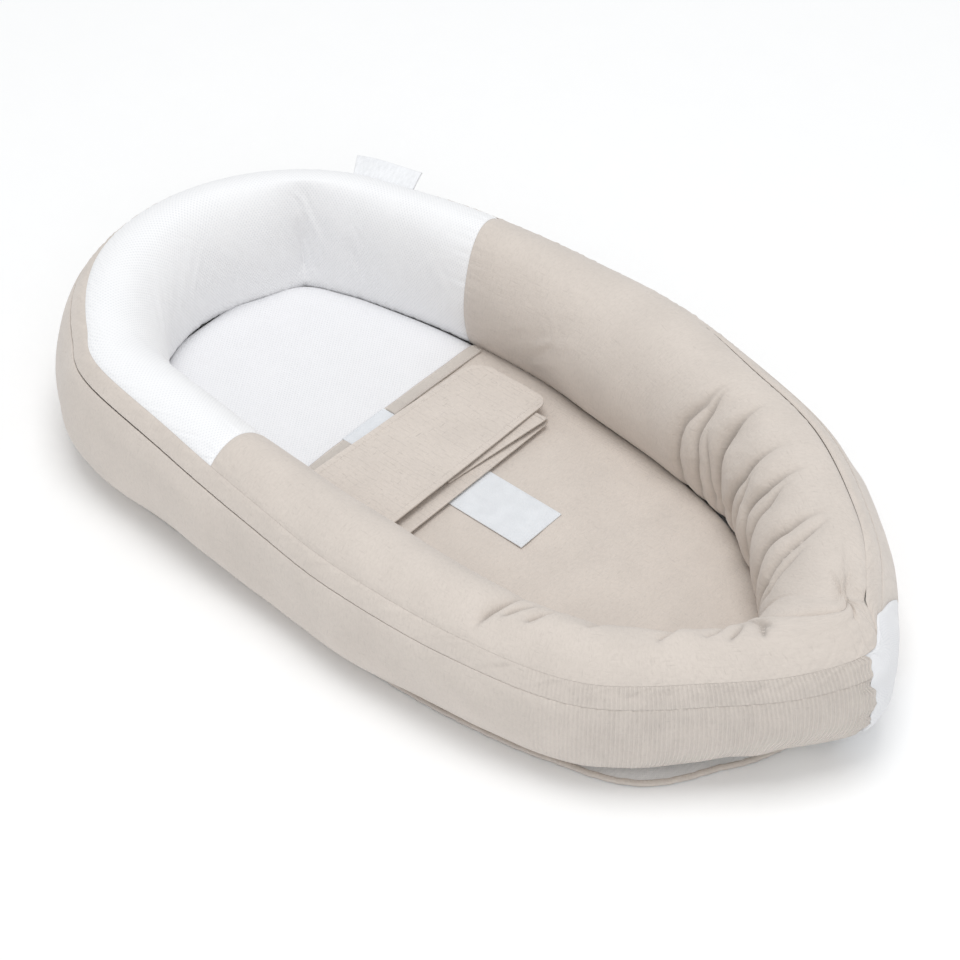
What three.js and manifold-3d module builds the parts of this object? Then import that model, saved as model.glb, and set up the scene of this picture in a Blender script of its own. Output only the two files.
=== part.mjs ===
// Infant lounger: a soft nest for a baby, made as a padded ring round a thin mattress.
// Lengths are in millimetres and +Z is up. While it is built, x runs from the head end to the
// foot tip, y runs across, with the far side positive, and z = 0 is the floor.
import * as THREE from 'three';
import Module from 'manifold-3d';
import { mergeVertices } from 'three/addons/utils/BufferGeometryUtils.js';

const wasm = await Module();
wasm.setup();

// Whole ring
const LENGTH = 791;
const SIDE_REACH = 220;
const HEAD_RADIUS = 196;
const HEAD_SHIFT = 5;
const HEAD_HEIGHT = 131;
const MIDDLE_HEIGHT = 124;
const FOOT_HEIGHT = 133;
const FOOT_LIFT = 22;
const NEAR_DIP = 9;
const CROWN_OUT = 46;
const GAP = 0.3;

// Fabrics and filling
const COVER_THICK = 2.5;
const FLAP_THICK = 1.4;
const FILLING_DEPTH = 3;
const FILLING_SPLIT = 2;
const FAR_COVER_END = 256;
const NEAR_COVER_END = 281;
const SEAM_SPLIT = 0.5;

// Zip, its channel in the filling and its slider
const STRIP_WIDTH = 19;
const NEAR_ZIP_CLIMB = 23;
const FAR_ZIP_CLIMB = 27;
const SLIT_WIDTH = 3.2;
const TAPE_WIDTH = 11;
const TAPE_THICK = 0.8;
const TAPE_POCKET = 13;
const TEETH_SPLIT = 2.4;
const TEETH_WIDTH = 2;
const TEETH_THICK = 2;
const CHANNEL_WIDTH = 14;
const CHANNEL_DEPTH = 7.6;
const STOP_LENGTH = 4;
const STOP_WIDTH = 7;
const SLIDER_LENGTH = 14;
const SLIDER_WALL = 1.2;
const SLIDER_PLAY = 0.8;
const WEDGE_LENGTH = 7;
const WEDGE_THICK = 1.2;
const BRIDGE_LENGTH = 11;
const BRIDGE_WIDTH = 6.4;
const EAR_LENGTH = 2.4;
const EAR_THICK = 0.9;
const EAR_HEIGHT = 3.4;
const BAR_RADIUS = 0.6;
const EYE_RADIUS = 1.8;
const EYE_HOLE_RADIUS = 1;
const PULL_LENGTH = 24;
const PULL_WIDTH = 6.4;
const PULL_NECK = 3.6;
const PULL_THICK = 1;

// Base
const BASE_THICK = 3;
const BASE_INSET = 22;
const FOOT_INSET = 46;
const FLAP_INSET = 10;
const BINDING_WIDTH = 4;
const BINDING_THICK = 0.9;
const BINDING_LIFT = 0.6;

// Mattress
const MATTRESS_LEVEL = 21.5;
const MATTRESS_CROWN = 2.5;
const SHEET_THICK = 1.6;
const MATTRESS_PLAY = 0.6;
const FABRIC_CHANGE = 267;
const HEM_WIDTH = 10.5;
const HEM_THICK = 1.5;
const HEM_OVERLAP = 2;
const HEM_SEARCH = 60;
const LOOP_STRIP_WIDTH = 50;
const LOOP_STRIP_END = 458;
const LOOP_STRIP_LENGTH = 190.5;
const LOOP_STRIP_THICK = 1.2;

// Belt
const BELT_START = 293;
const BELT_WIDTH = 93;
const BELT_THICK = 2;
const NEAR_FOLD = 100;
const FAR_FOLD = 92;
const NEAR_FOLD_HEIGHT = 8.4;
const FAR_FOLD_HEIGHT = 6.2;
const NEAR_WING_LENGTH = 212;
const NEAR_WING_ROOT = 91;
const NEAR_WING_TIP = 80;
const NEAR_WING_SHIFT = 9;
const WING_HEAD_CORNER = 22;
const WING_FOOT_CORNER = 12;
const FAR_WING_LENGTH = 104;
const FAR_WING_TIP = 80;
const HINGE_PLAY = 0.4;
const PATCH_THICK = 1;
const PATCH_SIZE = 50;
const WING_PATCH_START = 110;
const FAR_PATCH_START = 12;

// Label tab
const TAB_LENGTH = 52;
const TAB_HEIGHT = 18;
const TAB_PLY = 0.6;
const TAB_SPLIT = 0.5;

// Angles in degrees. Round the section 0 is the outer face, 90 the crown and 180 the inner face.
const ZIP_ANGLE = 27;
const CLIMB_ANGLES = [-30, 20, 50, 110];
const WALL_FOOT_ANGLE = -80;
const HEAD_ARC_FROM = 80;
const HEAD_ARC_STEP = 15;
const SLIDER_PARK = 60;
const TAB_PARK = 72;

// Where seams cross the ring, counted in points of its outline from the foot tip: the far side
// comes first, then the head arc, then the near side.
const GUSSET_FROM = -0.22;
const GUSSET_TO = 0.6;
const BACK_SEAM = 8;
const CLIMB_FROM = 12.5;
const CLIMB_TO = 20.7;
const FAR_CLIMB_PLACES = [0, 0.5, 3.6, 5.6];
const DIP_FROM = 20.5;
const FOOT_INSET_FROM = 0.4;
const FOOT_INSET_TO = 2.2;
const STEPS_PER_POINT = 2;

// Superellipse exponents of the upper and the lower half of the section
const UPPER_POWER = 2.05;
const LOWER_POWER = 2.5;

// Folds pressed into the far bolster where the ring bends to the foot
const FOLD_FROM = 1;
const FOLD_TO = 4.5;
const FOLD_COUNT = 8;
const FOLD_HEIGHT = 3.5;
const FOLD_STEPS_PER_POINT = 8;

const OUTER_FAR_SHARES = [
  [1, -0.02], [0.968, 0.22], [0.912, 0.46], [0.806, 0.755], [0.684, 0.914],
  [0.547, 1.018], [0.422, 1.005], [0.29, 0.935],
];
const OUTER_NEAR_SHARES = [
  [0.301, -0.9], [0.427, -0.922], [0.542, -0.948], [0.681, -0.915],
  [0.812, -0.795], [0.912, -0.493], [0.973, -0.255],
];
const INNER_FAR_SHARES = [
  [0.872, -0.02], [0.84, 0.125], [0.794, 0.29], [0.718, 0.468], [0.622, 0.559],
  [0.516, 0.605], [0.426, 0.641], [0.31, 0.627],
];
const INNER_NEAR_SHARES = [
  [0.31, -0.55], [0.427, -0.57], [0.531, -0.575], [0.645, -0.57],
  [0.757, -0.5], [0.83, -0.35], [0.865, -0.18], [0.872, -0.02],
];
// Inner radius of the head arc, with the sharp tuck at its third point
const HEAD_INNER_SHARES = [0.68, 0.69, 0.718, 0.66, 0.64, 0.625, 0.605, 0.595, 0.585, 0.58, 0.58];

const LEVEL_HEAD_SHARE = 0.21;
const LIFT_SHARE = 0.72;
const MIDDLE_SHARE = 0.5;
const FOOT_SHARE = 0.95;
const FLAP_CENTRE = 23.5;
const FLAP_REACH = 0.75;
const BASE_STEPS_PER_POINT = 4;

const COTTON = 0xd9d0c8;
const MESH_WHITE = 0xf0f0f1;
const TAPE_WHITE = 0xe2e5ea;
const FILLING_WHITE = 0xf4f2ee;
const FOAM = 0xefe9d8;
const ZIP_GREY = 0x8f8a84;

const cotton = () => new THREE.MeshStandardMaterial({ color: COTTON, roughness: 0.9, metalness: 0 });
const spacer = () => new THREE.MeshStandardMaterial({ color: MESH_WHITE, roughness: 0.85, metalness: 0 });
const tape = () => new THREE.MeshStandardMaterial({ color: TAPE_WHITE, roughness: 0.8, metalness: 0 });
const fibre = () => new THREE.MeshStandardMaterial({ color: FILLING_WHITE, roughness: 1, metalness: 0 });
const foam = () => new THREE.MeshStandardMaterial({ color: FOAM, roughness: 0.95, metalness: 0 });
const nylon = () => new THREE.MeshStandardMaterial({ color: ZIP_GREY, roughness: 0.5, metalness: 0 });
const zinc = () => new THREE.MeshStandardMaterial({ color: ZIP_GREY, roughness: 0.35, metalness: 1 });

const radians = THREE.MathUtils.degToRad;
const lounger = new THREE.Group();

function addTo(group, name, geometry, material) {
  const mesh = new THREE.Mesh(geometry, material);
  mesh.name = name;
  group.add(mesh);
  return mesh;
}

// Closed solid from points and triangles, turned so that its faces point out
function solidFrom(points, triangles) {
  let volume = 0;
  for (const [a, b, c] of triangles) {
    volume += points[a].dot(new THREE.Vector3().crossVectors(points[b], points[c]));
  }
  const ordered = volume > 0 ? triangles : triangles.map(([a, b, c]) => [a, c, b]);
  const geometry = new THREE.BufferGeometry();
  geometry.setAttribute('position', new THREE.Float32BufferAttribute(points.flatMap((p) => p.toArray()), 3));
  geometry.setIndex(ordered.flat());
  geometry.computeVertexNormals();
  return geometry;
}

function toManifold(geometry) {
  const bare = geometry.clone();
  bare.deleteAttribute('normal');
  bare.deleteAttribute('uv');
  const merged = mergeVertices(bare);
  const vertProperties = new Float32Array(merged.attributes.position.array);
  const triVerts = new Uint32Array(merged.index.array);
  return new wasm.Manifold(new wasm.Mesh({ numProp: 3, vertProperties, triVerts }));
}

function fromManifold(solid) {
  const { vertProperties, triVerts } = solid.getMesh();
  const geometry = new THREE.BufferGeometry();
  geometry.setAttribute('position', new THREE.Float32BufferAttribute(vertProperties, 3));
  geometry.setIndex(new THREE.Uint32BufferAttribute(triVerts, 1));
  geometry.computeVertexNormals();
  return geometry;
}

function joined(geometries) {
  const solids = geometries.map(toManifold);
  return fromManifold(solids.reduce((sum, solid) => sum.add(solid)));
}

function blockBetween(x0, x1, y0, y1, z0, z1) {
  const block = new THREE.BoxGeometry(x1 - x0, y1 - y0, z1 - z0);
  return block.translate((x0 + x1) / 2, (y0 + y1) / 2, (z0 + z1) / 2);
}

// The ring: an outer and an inner outline, read at the same points
const headPoint = (turn, radius) =>
  new THREE.Vector3(HEAD_RADIUS - radius * Math.cos(turn), radius * Math.sin(turn) - HEAD_SHIFT, 0);
const sidePoint = ([along, across]) => new THREE.Vector3(along * LENGTH, across * SIDE_REACH, 0);
const headTurns = HEAD_INNER_SHARES.map((_, i) => radians(HEAD_ARC_FROM - i * HEAD_ARC_STEP));
const outerPoints = [
  ...OUTER_FAR_SHARES.map(sidePoint),
  ...headTurns.map((turn) => headPoint(turn, HEAD_RADIUS)),
  ...OUTER_NEAR_SHARES.map(sidePoint),
];
const innerPoints = [
  ...INNER_FAR_SHARES.map(sidePoint),
  ...headTurns.map((turn, i) => headPoint(turn, HEAD_INNER_SHARES[i] * HEAD_RADIUS)),
  ...INNER_NEAR_SHARES.map(sidePoint),
];
const outerCurve = new THREE.CatmullRomCurve3(outerPoints, true, 'catmullrom');
const innerCurve = new THREE.CatmullRomCurve3(innerPoints, false, 'catmullrom');
const POINT_COUNT = outerPoints.length;
const STATION_COUNT = POINT_COUNT * STEPS_PER_POINT;

const floorOfRing = BASE_THICK + GAP;
const superPower = (value, power) => Math.sign(value) * Math.abs(value) ** (2 / power);

// Rises from 0 at one place to 1 halfway and falls back to 0 at the other
function swell(at, from, to) {
  const along = THREE.MathUtils.clamp((at - from) / (to - from), 0, 1);
  return Math.sin(Math.PI * along) ** 2;
}

// The near side lies lower than the far side where it bends to the foot
function ringHeight(x, at) {
  const along = x / LENGTH;
  const towardsFoot = THREE.MathUtils.smoothstep(along, MIDDLE_SHARE, FOOT_SHARE);
  const towardsMiddle = THREE.MathUtils.smoothstep(along, LEVEL_HEAD_SHARE, MIDDLE_SHARE);
  const headSide = THREE.MathUtils.lerp(HEAD_HEIGHT, MIDDLE_HEIGHT, towardsMiddle);
  const level = THREE.MathUtils.lerp(headSide, FOOT_HEIGHT, towardsFoot);
  return level - NEAR_DIP * swell(at, DIP_FROM, POINT_COUNT);
}

// Angle below the inner face at which the ring meets the top of the mattress
function contactAngle(half) {
  const drop = (floorOfRing + half - MATTRESS_LEVEL) / half;
  return Math.asin(drop ** (LOWER_POWER / 2));
}

// Degrees of the section that a length along the wall takes up at the zip
const middleHalf = (MIDDLE_HEIGHT - floorOfRing) / 2;
const wallRadius = Math.hypot(
  CROWN_OUT * Math.sin(radians(ZIP_ANGLE)),
  middleHalf * Math.cos(radians(ZIP_ANGLE)),
);
const degreesFor = (length) => THREE.MathUtils.radToDeg(length / wallRadius);

// Round the head's near corner and the foot's far side the zip and its seams climb to the crown
function zipClimb(at) {
  const [start, full, still, end] = FAR_CLIMB_PLACES;
  const rise = THREE.MathUtils.smoothstep(at, start, full);
  const far = rise * (1 - THREE.MathUtils.smoothstep(at, still, end));
  return degreesFor(NEAR_ZIP_CLIMB * swell(at, CLIMB_FROM, CLIMB_TO) + FAR_ZIP_CLIMB * far);
}

function climbShare(degrees) {
  const [start, full, still, end] = CLIMB_ANGLES;
  const rise = THREE.MathUtils.smoothstep(degrees, start, full);
  return rise * (1 - THREE.MathUtils.smoothstep(degrees, still, end));
}

const stations = Array.from({ length: STATION_COUNT + 1 }, (_, i) => {
  const at = i / STEPS_PER_POINT;
  const outer = outerCurve.getPoint(i / STATION_COUNT);
  const inner = innerCurve.getPoint(i / STATION_COUNT);
  const inward = inner.clone().sub(outer).normalize();
  const half = (ringHeight(outer.x, at) - floorOfRing) / 2;
  const contact = contactAngle(half);
  const innerHalf = (inner.distanceTo(outer) - CROWN_OUT) / superPower(Math.cos(contact), LOWER_POWER);
  const lift = FOOT_LIFT * THREE.MathUtils.smoothstep(outer.x / LENGTH, LIFT_SHARE, 1);
  const climb = zipClimb(at);
  return { outer, inward, half, contact, innerHalf, lift, climb };
});

function sectionPoint(station, degrees, depth) {
  const turn = radians(degrees + station.climb * climbShare(degrees));
  const up = Math.sin(turn);
  const out = Math.cos(turn);
  const power = up < 0 ? LOWER_POWER : UPPER_POWER;
  const width = out < 0 ? station.innerHalf : CROWN_OUT;
  const outShare = superPower(out, power);
  const upShare = superPower(up, power);
  const normal = new THREE.Vector2(
    (Math.sign(outShare) * Math.abs(outShare) ** (power - 1)) / width,
    (Math.sign(upShare) * Math.abs(upShare) ** (power - 1)) / station.half,
  ).normalize();
  const outward = outShare * width - normal.x * depth - CROWN_OUT;
  const point = station.outer.clone().addScaledVector(station.inward, -outward);
  const raised = station.lift * Math.max(outShare, 0) * Math.max(-upShare, 0);
  point.z = floorOfRing + station.half * (1 + upShare) + raised - normal.y * depth;
  return point;
}

// Point of the ring: between two stations the faces run straight
function between(at, place) {
  const place0 = ((at % POINT_COUNT) + POINT_COUNT) % POINT_COUNT;
  const index = Math.floor(place0 * STEPS_PER_POINT);
  const rest = place0 * STEPS_PER_POINT - index;
  return place(stations[index]).lerp(place(stations[index + 1]), rest);
}
const ringPoint = (at, degrees, depth) => between(at, (s) => sectionPoint(s, degrees, depth));
const basePoint = (at, inset, z) =>
  between(at, (s) => s.outer.clone().addScaledVector(s.inward, inset).setZ(z));

// Outline points that a length along the ring takes up at one place
function pointsFor(at, length) {
  const step = 1 / STEPS_PER_POINT;
  return (length * step) / basePoint(at, 0, 0).distanceTo(basePoint(at + step, 0, 0));
}

function placesBetween(from, to, stepsPerPoint = STEPS_PER_POINT) {
  const inside = [];
  for (let i = Math.floor(from * stepsPerPoint) + 1; i < to * stepsPerPoint; i++) {
    inside.push(i / stepsPerPoint);
  }
  return [from, ...inside, to];
}

// Sweeps a closed outline round the ring. An outline point is a pair that place() reads. Each
// face is split from its low corner to its high one, so that two layers split alike.
function sweep(places, outline, place, shut = false) {
  const points = places.flatMap((at) => outline.map(([a, b]) => place(at, a, b)));
  const count = outline.length;
  const triangles = [];
  const spans = shut ? places.length : places.length - 1;
  for (let i = 0; i < spans; i++) {
    for (let j = 0; j < count; j++) {
      const next = (j + 1) % count;
      const row = i * count;
      const after = ((i + 1) % places.length) * count;
      if (outline[next][0] > outline[j][0]) {
        triangles.push([row + j, after + j, after + next], [row + j, after + next, row + next]);
      } else {
        triangles.push([row + j, after + j, row + next], [after + j, after + next, row + next]);
      }
    }
  }
  if (!shut) {
    const inward = between(places[0], (s) => s.inward.clone());
    const flat = points.slice(0, count).map((p) => new THREE.Vector2(p.dot(inward), p.z));
    const last = (places.length - 1) * count;
    const clockwise = THREE.ShapeUtils.isClockWise(flat);
    for (const face of THREE.ShapeUtils.triangulateShape(flat, [])) {
      const [a, b, c] = clockwise ? [...face].reverse() : face;
      triangles.push([a, b, c]);
      triangles.push([last + a, last + c, last + b]);
    }
  }
  return solidFrom(points, triangles);
}

// Angles at which the faces of the covers and of the filling have their edges
const seamAngle = ZIP_ANGLE + degreesFor(STRIP_WIDTH);
const splitTurn = degreesFor(SEAM_SPLIT) / 2;
const CONTACT_END_ANGLE = 221;
const coverAngles = [seamAngle + splitTurn, 60, 75, 90, 105, 120, 140, 160, 180, 200, CONTACT_END_ANGLE];
const pocketTurn = degreesFor(TAPE_POCKET);
const wallAngles = [ZIP_ANGLE - pocketTurn, 0, -20, -40, -60, WALL_FOOT_ANGLE];
const undersideAngles = [-90, -110, -130];

function layer(angles, outerDepth, innerDepth) {
  const outside = angles.map((degrees) => [degrees, outerDepth]);
  const inside = angles.map((degrees) => [degrees, innerDepth]).reverse();
  return [...outside, ...inside];
}

// Outline point at which the crown crosses a line across the lounger, found by halving
const CROWN_ANGLE = 90;
const HALVINGS = 40;
function crossing(x, low, high) {
  const crownX = (at) => ringPoint(at, CROWN_ANGLE, 0).x;
  const rising = crownX(high) > crownX(low);
  let [a, b] = [low, high];
  for (let i = 0; i < HALVINGS; i++) {
    const middle = (a + b) / 2;
    if ((crownX(middle) < x) === rising) {
      a = middle;
    } else {
      b = middle;
    }
  }
  return (a + b) / 2;
}
const headArcEnd = BACK_SEAM + HEAD_INNER_SHARES.length - 1;
const farChange = crossing(FAR_COVER_END, FOLD_TO, BACK_SEAM);
const nearChange = crossing(NEAR_COVER_END, headArcEnd, DIP_FROM + FOLD_FROM);
const footSplit = pointsFor(0, SEAM_SPLIT);
const changeSplit = pointsFor(farChange, SEAM_SPLIT) / 2;

// Bolster covers
function bolsterCover(name, from, to, material) {
  const outline = layer(coverAngles, 0, COVER_THICK);
  addTo(lounger, name, sweep(placesBetween(from, to), outline, ringPoint), material);
}

// Far cover: ridges rise from the crown's inner half between its pressed folds
function foldRise(at, degrees) {
  const along = (at - FOLD_FROM) / (FOLD_TO - FOLD_FROM);
  if (along < 0 || along > 1) {
    return 0;
  }
  const acrossShare = (degrees - seamAngle) / (CONTACT_END_ANGLE - seamAngle);
  const across = Math.max(Math.sin(Math.PI * acrossShare), 0);
  const ridge = Math.abs(Math.sin(Math.PI * FOLD_COUNT * along));
  return FOLD_HEIGHT * ridge * across * Math.sqrt(Math.sin(Math.PI * along));
}

function foldedCover(name, from, to, material) {
  const folded = placesBetween(from, FOLD_TO, FOLD_STEPS_PER_POINT);
  const places = [...folded, ...placesBetween(FOLD_TO, to).slice(1)];
  const place = (at, degrees, depth) => ringPoint(at, degrees, depth === 0 ? -foldRise(at, degrees) : depth);
  addTo(lounger, name, sweep(places, layer(coverAngles, 0, COVER_THICK), place), material);
}

bolsterCover('bolster_head_cover', farChange + changeSplit, nearChange - changeSplit, spacer());
bolsterCover('bolster_near_cover', nearChange + changeSplit, POINT_COUNT - footSplit, cotton());
foldedCover('bolster_far_cover', footSplit, farChange - changeSplit, cotton());

// Filling: one long pillow bent round, with a channel for the zip
const channelTurn = degreesFor(CHANNEL_WIDTH) / 2;
const fillingOutline = [
  ...[...wallAngles, ...undersideAngles].reverse().map((degrees) => [degrees, FILLING_DEPTH]),
  [ZIP_ANGLE - channelTurn, FILLING_DEPTH],
  [ZIP_ANGLE - channelTurn, CHANNEL_DEPTH],
  [ZIP_ANGLE + channelTurn, CHANNEL_DEPTH],
  [ZIP_ANGLE + channelTurn, FILLING_DEPTH],
  ...coverAngles.map((degrees) => [degrees, FILLING_DEPTH]),
];
const fillingSplit = pointsFor(0, FILLING_SPLIT) / 2;
const fillingPlaces = placesBetween(fillingSplit, POINT_COUNT - fillingSplit);
addTo(lounger, 'bolster_filling', sweep(fillingPlaces, fillingOutline, ringPoint), fibre());

// Side strip above the zip, wall below it, and the white gusset that closes the foot
const slitTurn = degreesFor(SLIT_WIDTH) / 2;
const stripOutline = [
  [ZIP_ANGLE + slitTurn, 0],
  [seamAngle - splitTurn, 0],
  [seamAngle - splitTurn, COVER_THICK],
  [ZIP_ANGLE + pocketTurn, COVER_THICK],
  [ZIP_ANGLE + pocketTurn, FLAP_THICK],
  [ZIP_ANGLE + slitTurn, FLAP_THICK],
];
const wallOutline = [
  [ZIP_ANGLE - slitTurn, 0],
  ...wallAngles.map((degrees) => [degrees, 0]),
  ...wallAngles.map((degrees) => [degrees, COVER_THICK]).reverse(),
  [ZIP_ANGLE - pocketTurn, FLAP_THICK],
  [ZIP_ANGLE - slitTurn, FLAP_THICK],
];
const gussetAngles = [seamAngle - splitTurn, ZIP_ANGLE + channelTurn, ZIP_ANGLE - channelTurn, ...wallAngles];
const sideSplit = pointsFor(GUSSET_FROM, SEAM_SPLIT) / 2;
const nearPlaces = placesBetween(BACK_SEAM + sideSplit, POINT_COUNT + GUSSET_FROM - sideSplit);
const farPlaces = placesBetween(GUSSET_TO + sideSplit, BACK_SEAM - sideSplit);
const gussetPlaces = placesBetween(GUSSET_FROM + sideSplit, GUSSET_TO - sideSplit);
addTo(lounger, 'side_strip_near', sweep(nearPlaces, stripOutline, ringPoint), cotton());
addTo(lounger, 'side_strip_far', sweep(farPlaces, stripOutline, ringPoint), cotton());
addTo(lounger, 'side_wall_near', sweep(nearPlaces, wallOutline, ringPoint), cotton());
addTo(lounger, 'side_wall_far', sweep(farPlaces, wallOutline, ringPoint), cotton());
const gussetOutline = layer(gussetAngles, 0, COVER_THICK);
addTo(lounger, 'foot_gusset', sweep(gussetPlaces, gussetOutline, ringPoint), spacer());

// Zip tapes and rows of teeth, on the inside of the strip and of the wall
const tapeTop = FLAP_THICK + GAP;
const teethTop = tapeTop + TAPE_THICK + GAP;
const zipFrom = GUSSET_TO + pointsFor(GUSSET_TO, STOP_LENGTH * 2);
const zipTo = POINT_COUNT + GUSSET_FROM - pointsFor(GUSSET_FROM, STOP_LENGTH * 2);
function zipRow(name, places, start, end, top, thick, material) {
  const angles = [ZIP_ANGLE + degreesFor(start), ZIP_ANGLE + degreesFor(end)];
  addTo(lounger, name, sweep(places, layer(angles, top, top + thick), ringPoint), material);
}
const halfSplit = TEETH_SPLIT / 2;
const zipPlaces = placesBetween(zipFrom, zipTo);
for (const [place, side] of [['upper', 1], ['lower', -1]]) {
  const start = side * halfSplit;
  const teethEnd = side * (halfSplit + TEETH_WIDTH);
  zipRow(`zip_tape_${place}`, zipPlaces, start, start + side * TAPE_WIDTH, tapeTop, TAPE_THICK, tape());
  zipRow(`zip_teeth_${place}`, zipPlaces, start, teethEnd, teethTop, TEETH_THICK, nylon());
}

// Moulded stops that close both ends of the rows
const stopReach = (at) => pointsFor(at, STOP_LENGTH);
const stopPlay = (at) => pointsFor(at, SEAM_SPLIT);
const farStop = placesBetween(zipFrom - stopPlay(zipFrom) - stopReach(zipFrom), zipFrom - stopPlay(zipFrom));
const nearStop = placesBetween(zipTo + stopPlay(zipTo), zipTo + stopPlay(zipTo) + stopReach(zipTo));
zipRow('zip_stop_far', farStop, -STOP_WIDTH / 2, STOP_WIDTH / 2, teethTop, TEETH_THICK, nylon());
zipRow('zip_stop_near', nearStop, -STOP_WIDTH / 2, STOP_WIDTH / 2, teethTop, TEETH_THICK, nylon());

// Group whose x follows the zip, whose y climbs the wall and whose z points out of it
function zipFrame(at) {
  const step = 1 / STEPS_PER_POINT;
  const origin = ringPoint(at, ZIP_ANGLE, 0);
  const along = ringPoint(at + step, ZIP_ANGLE, 0).sub(ringPoint(at - step, ZIP_ANGLE, 0)).normalize();
  const out = origin.clone().sub(ringPoint(at, ZIP_ANGLE, FLAP_THICK)).normalize();
  const climb = new THREE.Vector3().crossVectors(out, along).normalize();
  const clean = new THREE.Vector3().crossVectors(along, climb);
  const group = new THREE.Group();
  group.quaternion.setFromRotationMatrix(new THREE.Matrix4().makeBasis(along, climb, clean));
  group.position.copy(origin);
  lounger.add(group);
  return group;
}

// Slider: a back plate and cheeks round the teeth, a wedge through the slit, a bridge outside
const sliderAt = BACK_SEAM + (HEAD_ARC_FROM - SLIDER_PARK) / HEAD_ARC_STEP;
const sliderFrame = zipFrame(sliderAt);
const halfSlider = SLIDER_LENGTH / 2;
const cheekInside = halfSplit + TEETH_WIDTH + SLIDER_PLAY;
const cheekOutside = cheekInside + SLIDER_WALL;
const backTop = -teethTop - TEETH_THICK - SLIDER_PLAY;
const cheekTop = -tapeTop - TAPE_THICK - SLIDER_PLAY;
const bridgeBottom = SLIDER_PLAY;
const bridgeTop = bridgeBottom + SLIDER_WALL;
const halfWedge = WEDGE_THICK / 2;
const halfBridge = BRIDGE_WIDTH / 2;
const barHeight = bridgeTop + EYE_RADIUS + GAP;
const BAR_SIDES = 10;
const EYE_SIDES = 14;
const bar = new THREE.CylinderGeometry(BAR_RADIUS, BAR_RADIUS, BRIDGE_WIDTH - EAR_THICK, BAR_SIDES);
bar.translate(0, 0, barHeight);
const ear = (y) => blockBetween(
  -EAR_LENGTH / 2, EAR_LENGTH / 2, y - EAR_THICK / 2, y + EAR_THICK / 2, bridgeTop - halfWedge, bridgeTop + EAR_HEIGHT,
);
const earMiddle = halfBridge - EAR_THICK / 2;
addTo(sliderFrame, 'zip_slider', joined([
  blockBetween(-halfSlider, halfSlider, -cheekOutside, cheekOutside, backTop - SLIDER_WALL, backTop),
  blockBetween(-halfSlider, halfSlider, cheekInside, cheekOutside, backTop - SLIDER_WALL, cheekTop),
  blockBetween(-halfSlider, halfSlider, -cheekOutside, -cheekInside, backTop - SLIDER_WALL, cheekTop),
  blockBetween(-WEDGE_LENGTH / 2, WEDGE_LENGTH / 2, -halfWedge, halfWedge, backTop - halfWedge, bridgeTop),
  blockBetween(-BRIDGE_LENGTH / 2, BRIDGE_LENGTH / 2, -halfBridge, halfBridge, bridgeBottom, bridgeTop),
  ear(earMiddle),
  ear(-earMiddle),
  bar,
]), zinc());

// Pull: an eye round the slider's bar and a flat tab that lies back along the zip
const halfEye = earMiddle - EAR_THICK / 2 - GAP;
const pullShape = new THREE.Shape();
pullShape.moveTo(-(EYE_HOLE_RADIUS + EYE_RADIUS) / 2, -halfEye);
pullShape.lineTo(-PULL_NECK, -halfEye);
pullShape.lineTo(-PULL_NECK - GAP, -PULL_WIDTH / 2);
pullShape.lineTo(-PULL_LENGTH + PULL_WIDTH / 2, -PULL_WIDTH / 2);
pullShape.absarc(-PULL_LENGTH + PULL_WIDTH / 2, 0, PULL_WIDTH / 2, -Math.PI / 2, Math.PI / 2, true);
pullShape.lineTo(-PULL_NECK - GAP, PULL_WIDTH / 2);
pullShape.lineTo(-PULL_NECK, halfEye);
pullShape.lineTo(-(EYE_HOLE_RADIUS + EYE_RADIUS) / 2, halfEye);
const pullTab = new THREE.ExtrudeGeometry(pullShape, { depth: PULL_THICK, bevelEnabled: false, curveSegments: 6 });
pullTab.translate(0, 0, -PULL_THICK / 2);
const eye = new THREE.CylinderGeometry(EYE_RADIUS, EYE_RADIUS, halfEye * 2, EYE_SIDES);
const eyeHole = new THREE.CylinderGeometry(EYE_HOLE_RADIUS, EYE_HOLE_RADIUS, BRIDGE_WIDTH, EYE_SIDES);
const pullSolid = toManifold(eye).add(toManifold(pullTab)).subtract(toManifold(eyeHole));
const pull = addTo(sliderFrame, 'zip_pull', fromManifold(pullSolid), zinc());
pull.position.set(0, 0, barHeight);

// Base panel and the binding round its edge. By the near foot the panel shows under the wall.
function baseInset(at) {
  const fromFoot = Math.min(at, POINT_COUNT - at);
  const fromTip = THREE.MathUtils.smoothstep(fromFoot, FOOT_INSET_FROM, FOOT_INSET_TO);
  const away = Math.abs(at - FLAP_CENTRE) / FLAP_REACH;
  const hidden = THREE.MathUtils.lerp(FOOT_INSET, BASE_INSET, fromTip);
  return THREE.MathUtils.lerp(FLAP_INSET, hidden, THREE.MathUtils.smoothstep(away, 0, 1));
}
const wholeRing = Array.from({ length: STATION_COUNT }, (_, i) => i / STEPS_PER_POINT);
const flapPlaces = placesBetween(FLAP_CENTRE - FLAP_REACH, FLAP_CENTRE + FLAP_REACH, BASE_STEPS_PER_POINT);
const basePlaces = [...new Set([...wholeRing, ...flapPlaces])].sort((a, b) => a - b);
const panelOutline = basePlaces.map((at) => basePoint(at, baseInset(at) + BINDING_THICK + GAP, 0));
const panelShape = new THREE.Shape(panelOutline.map((p) => new THREE.Vector2(p.x, p.y)));
const panel = new THREE.ExtrudeGeometry(panelShape, { depth: BASE_THICK, bevelEnabled: false });
addTo(lounger, 'base_panel', panel, spacer());

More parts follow.
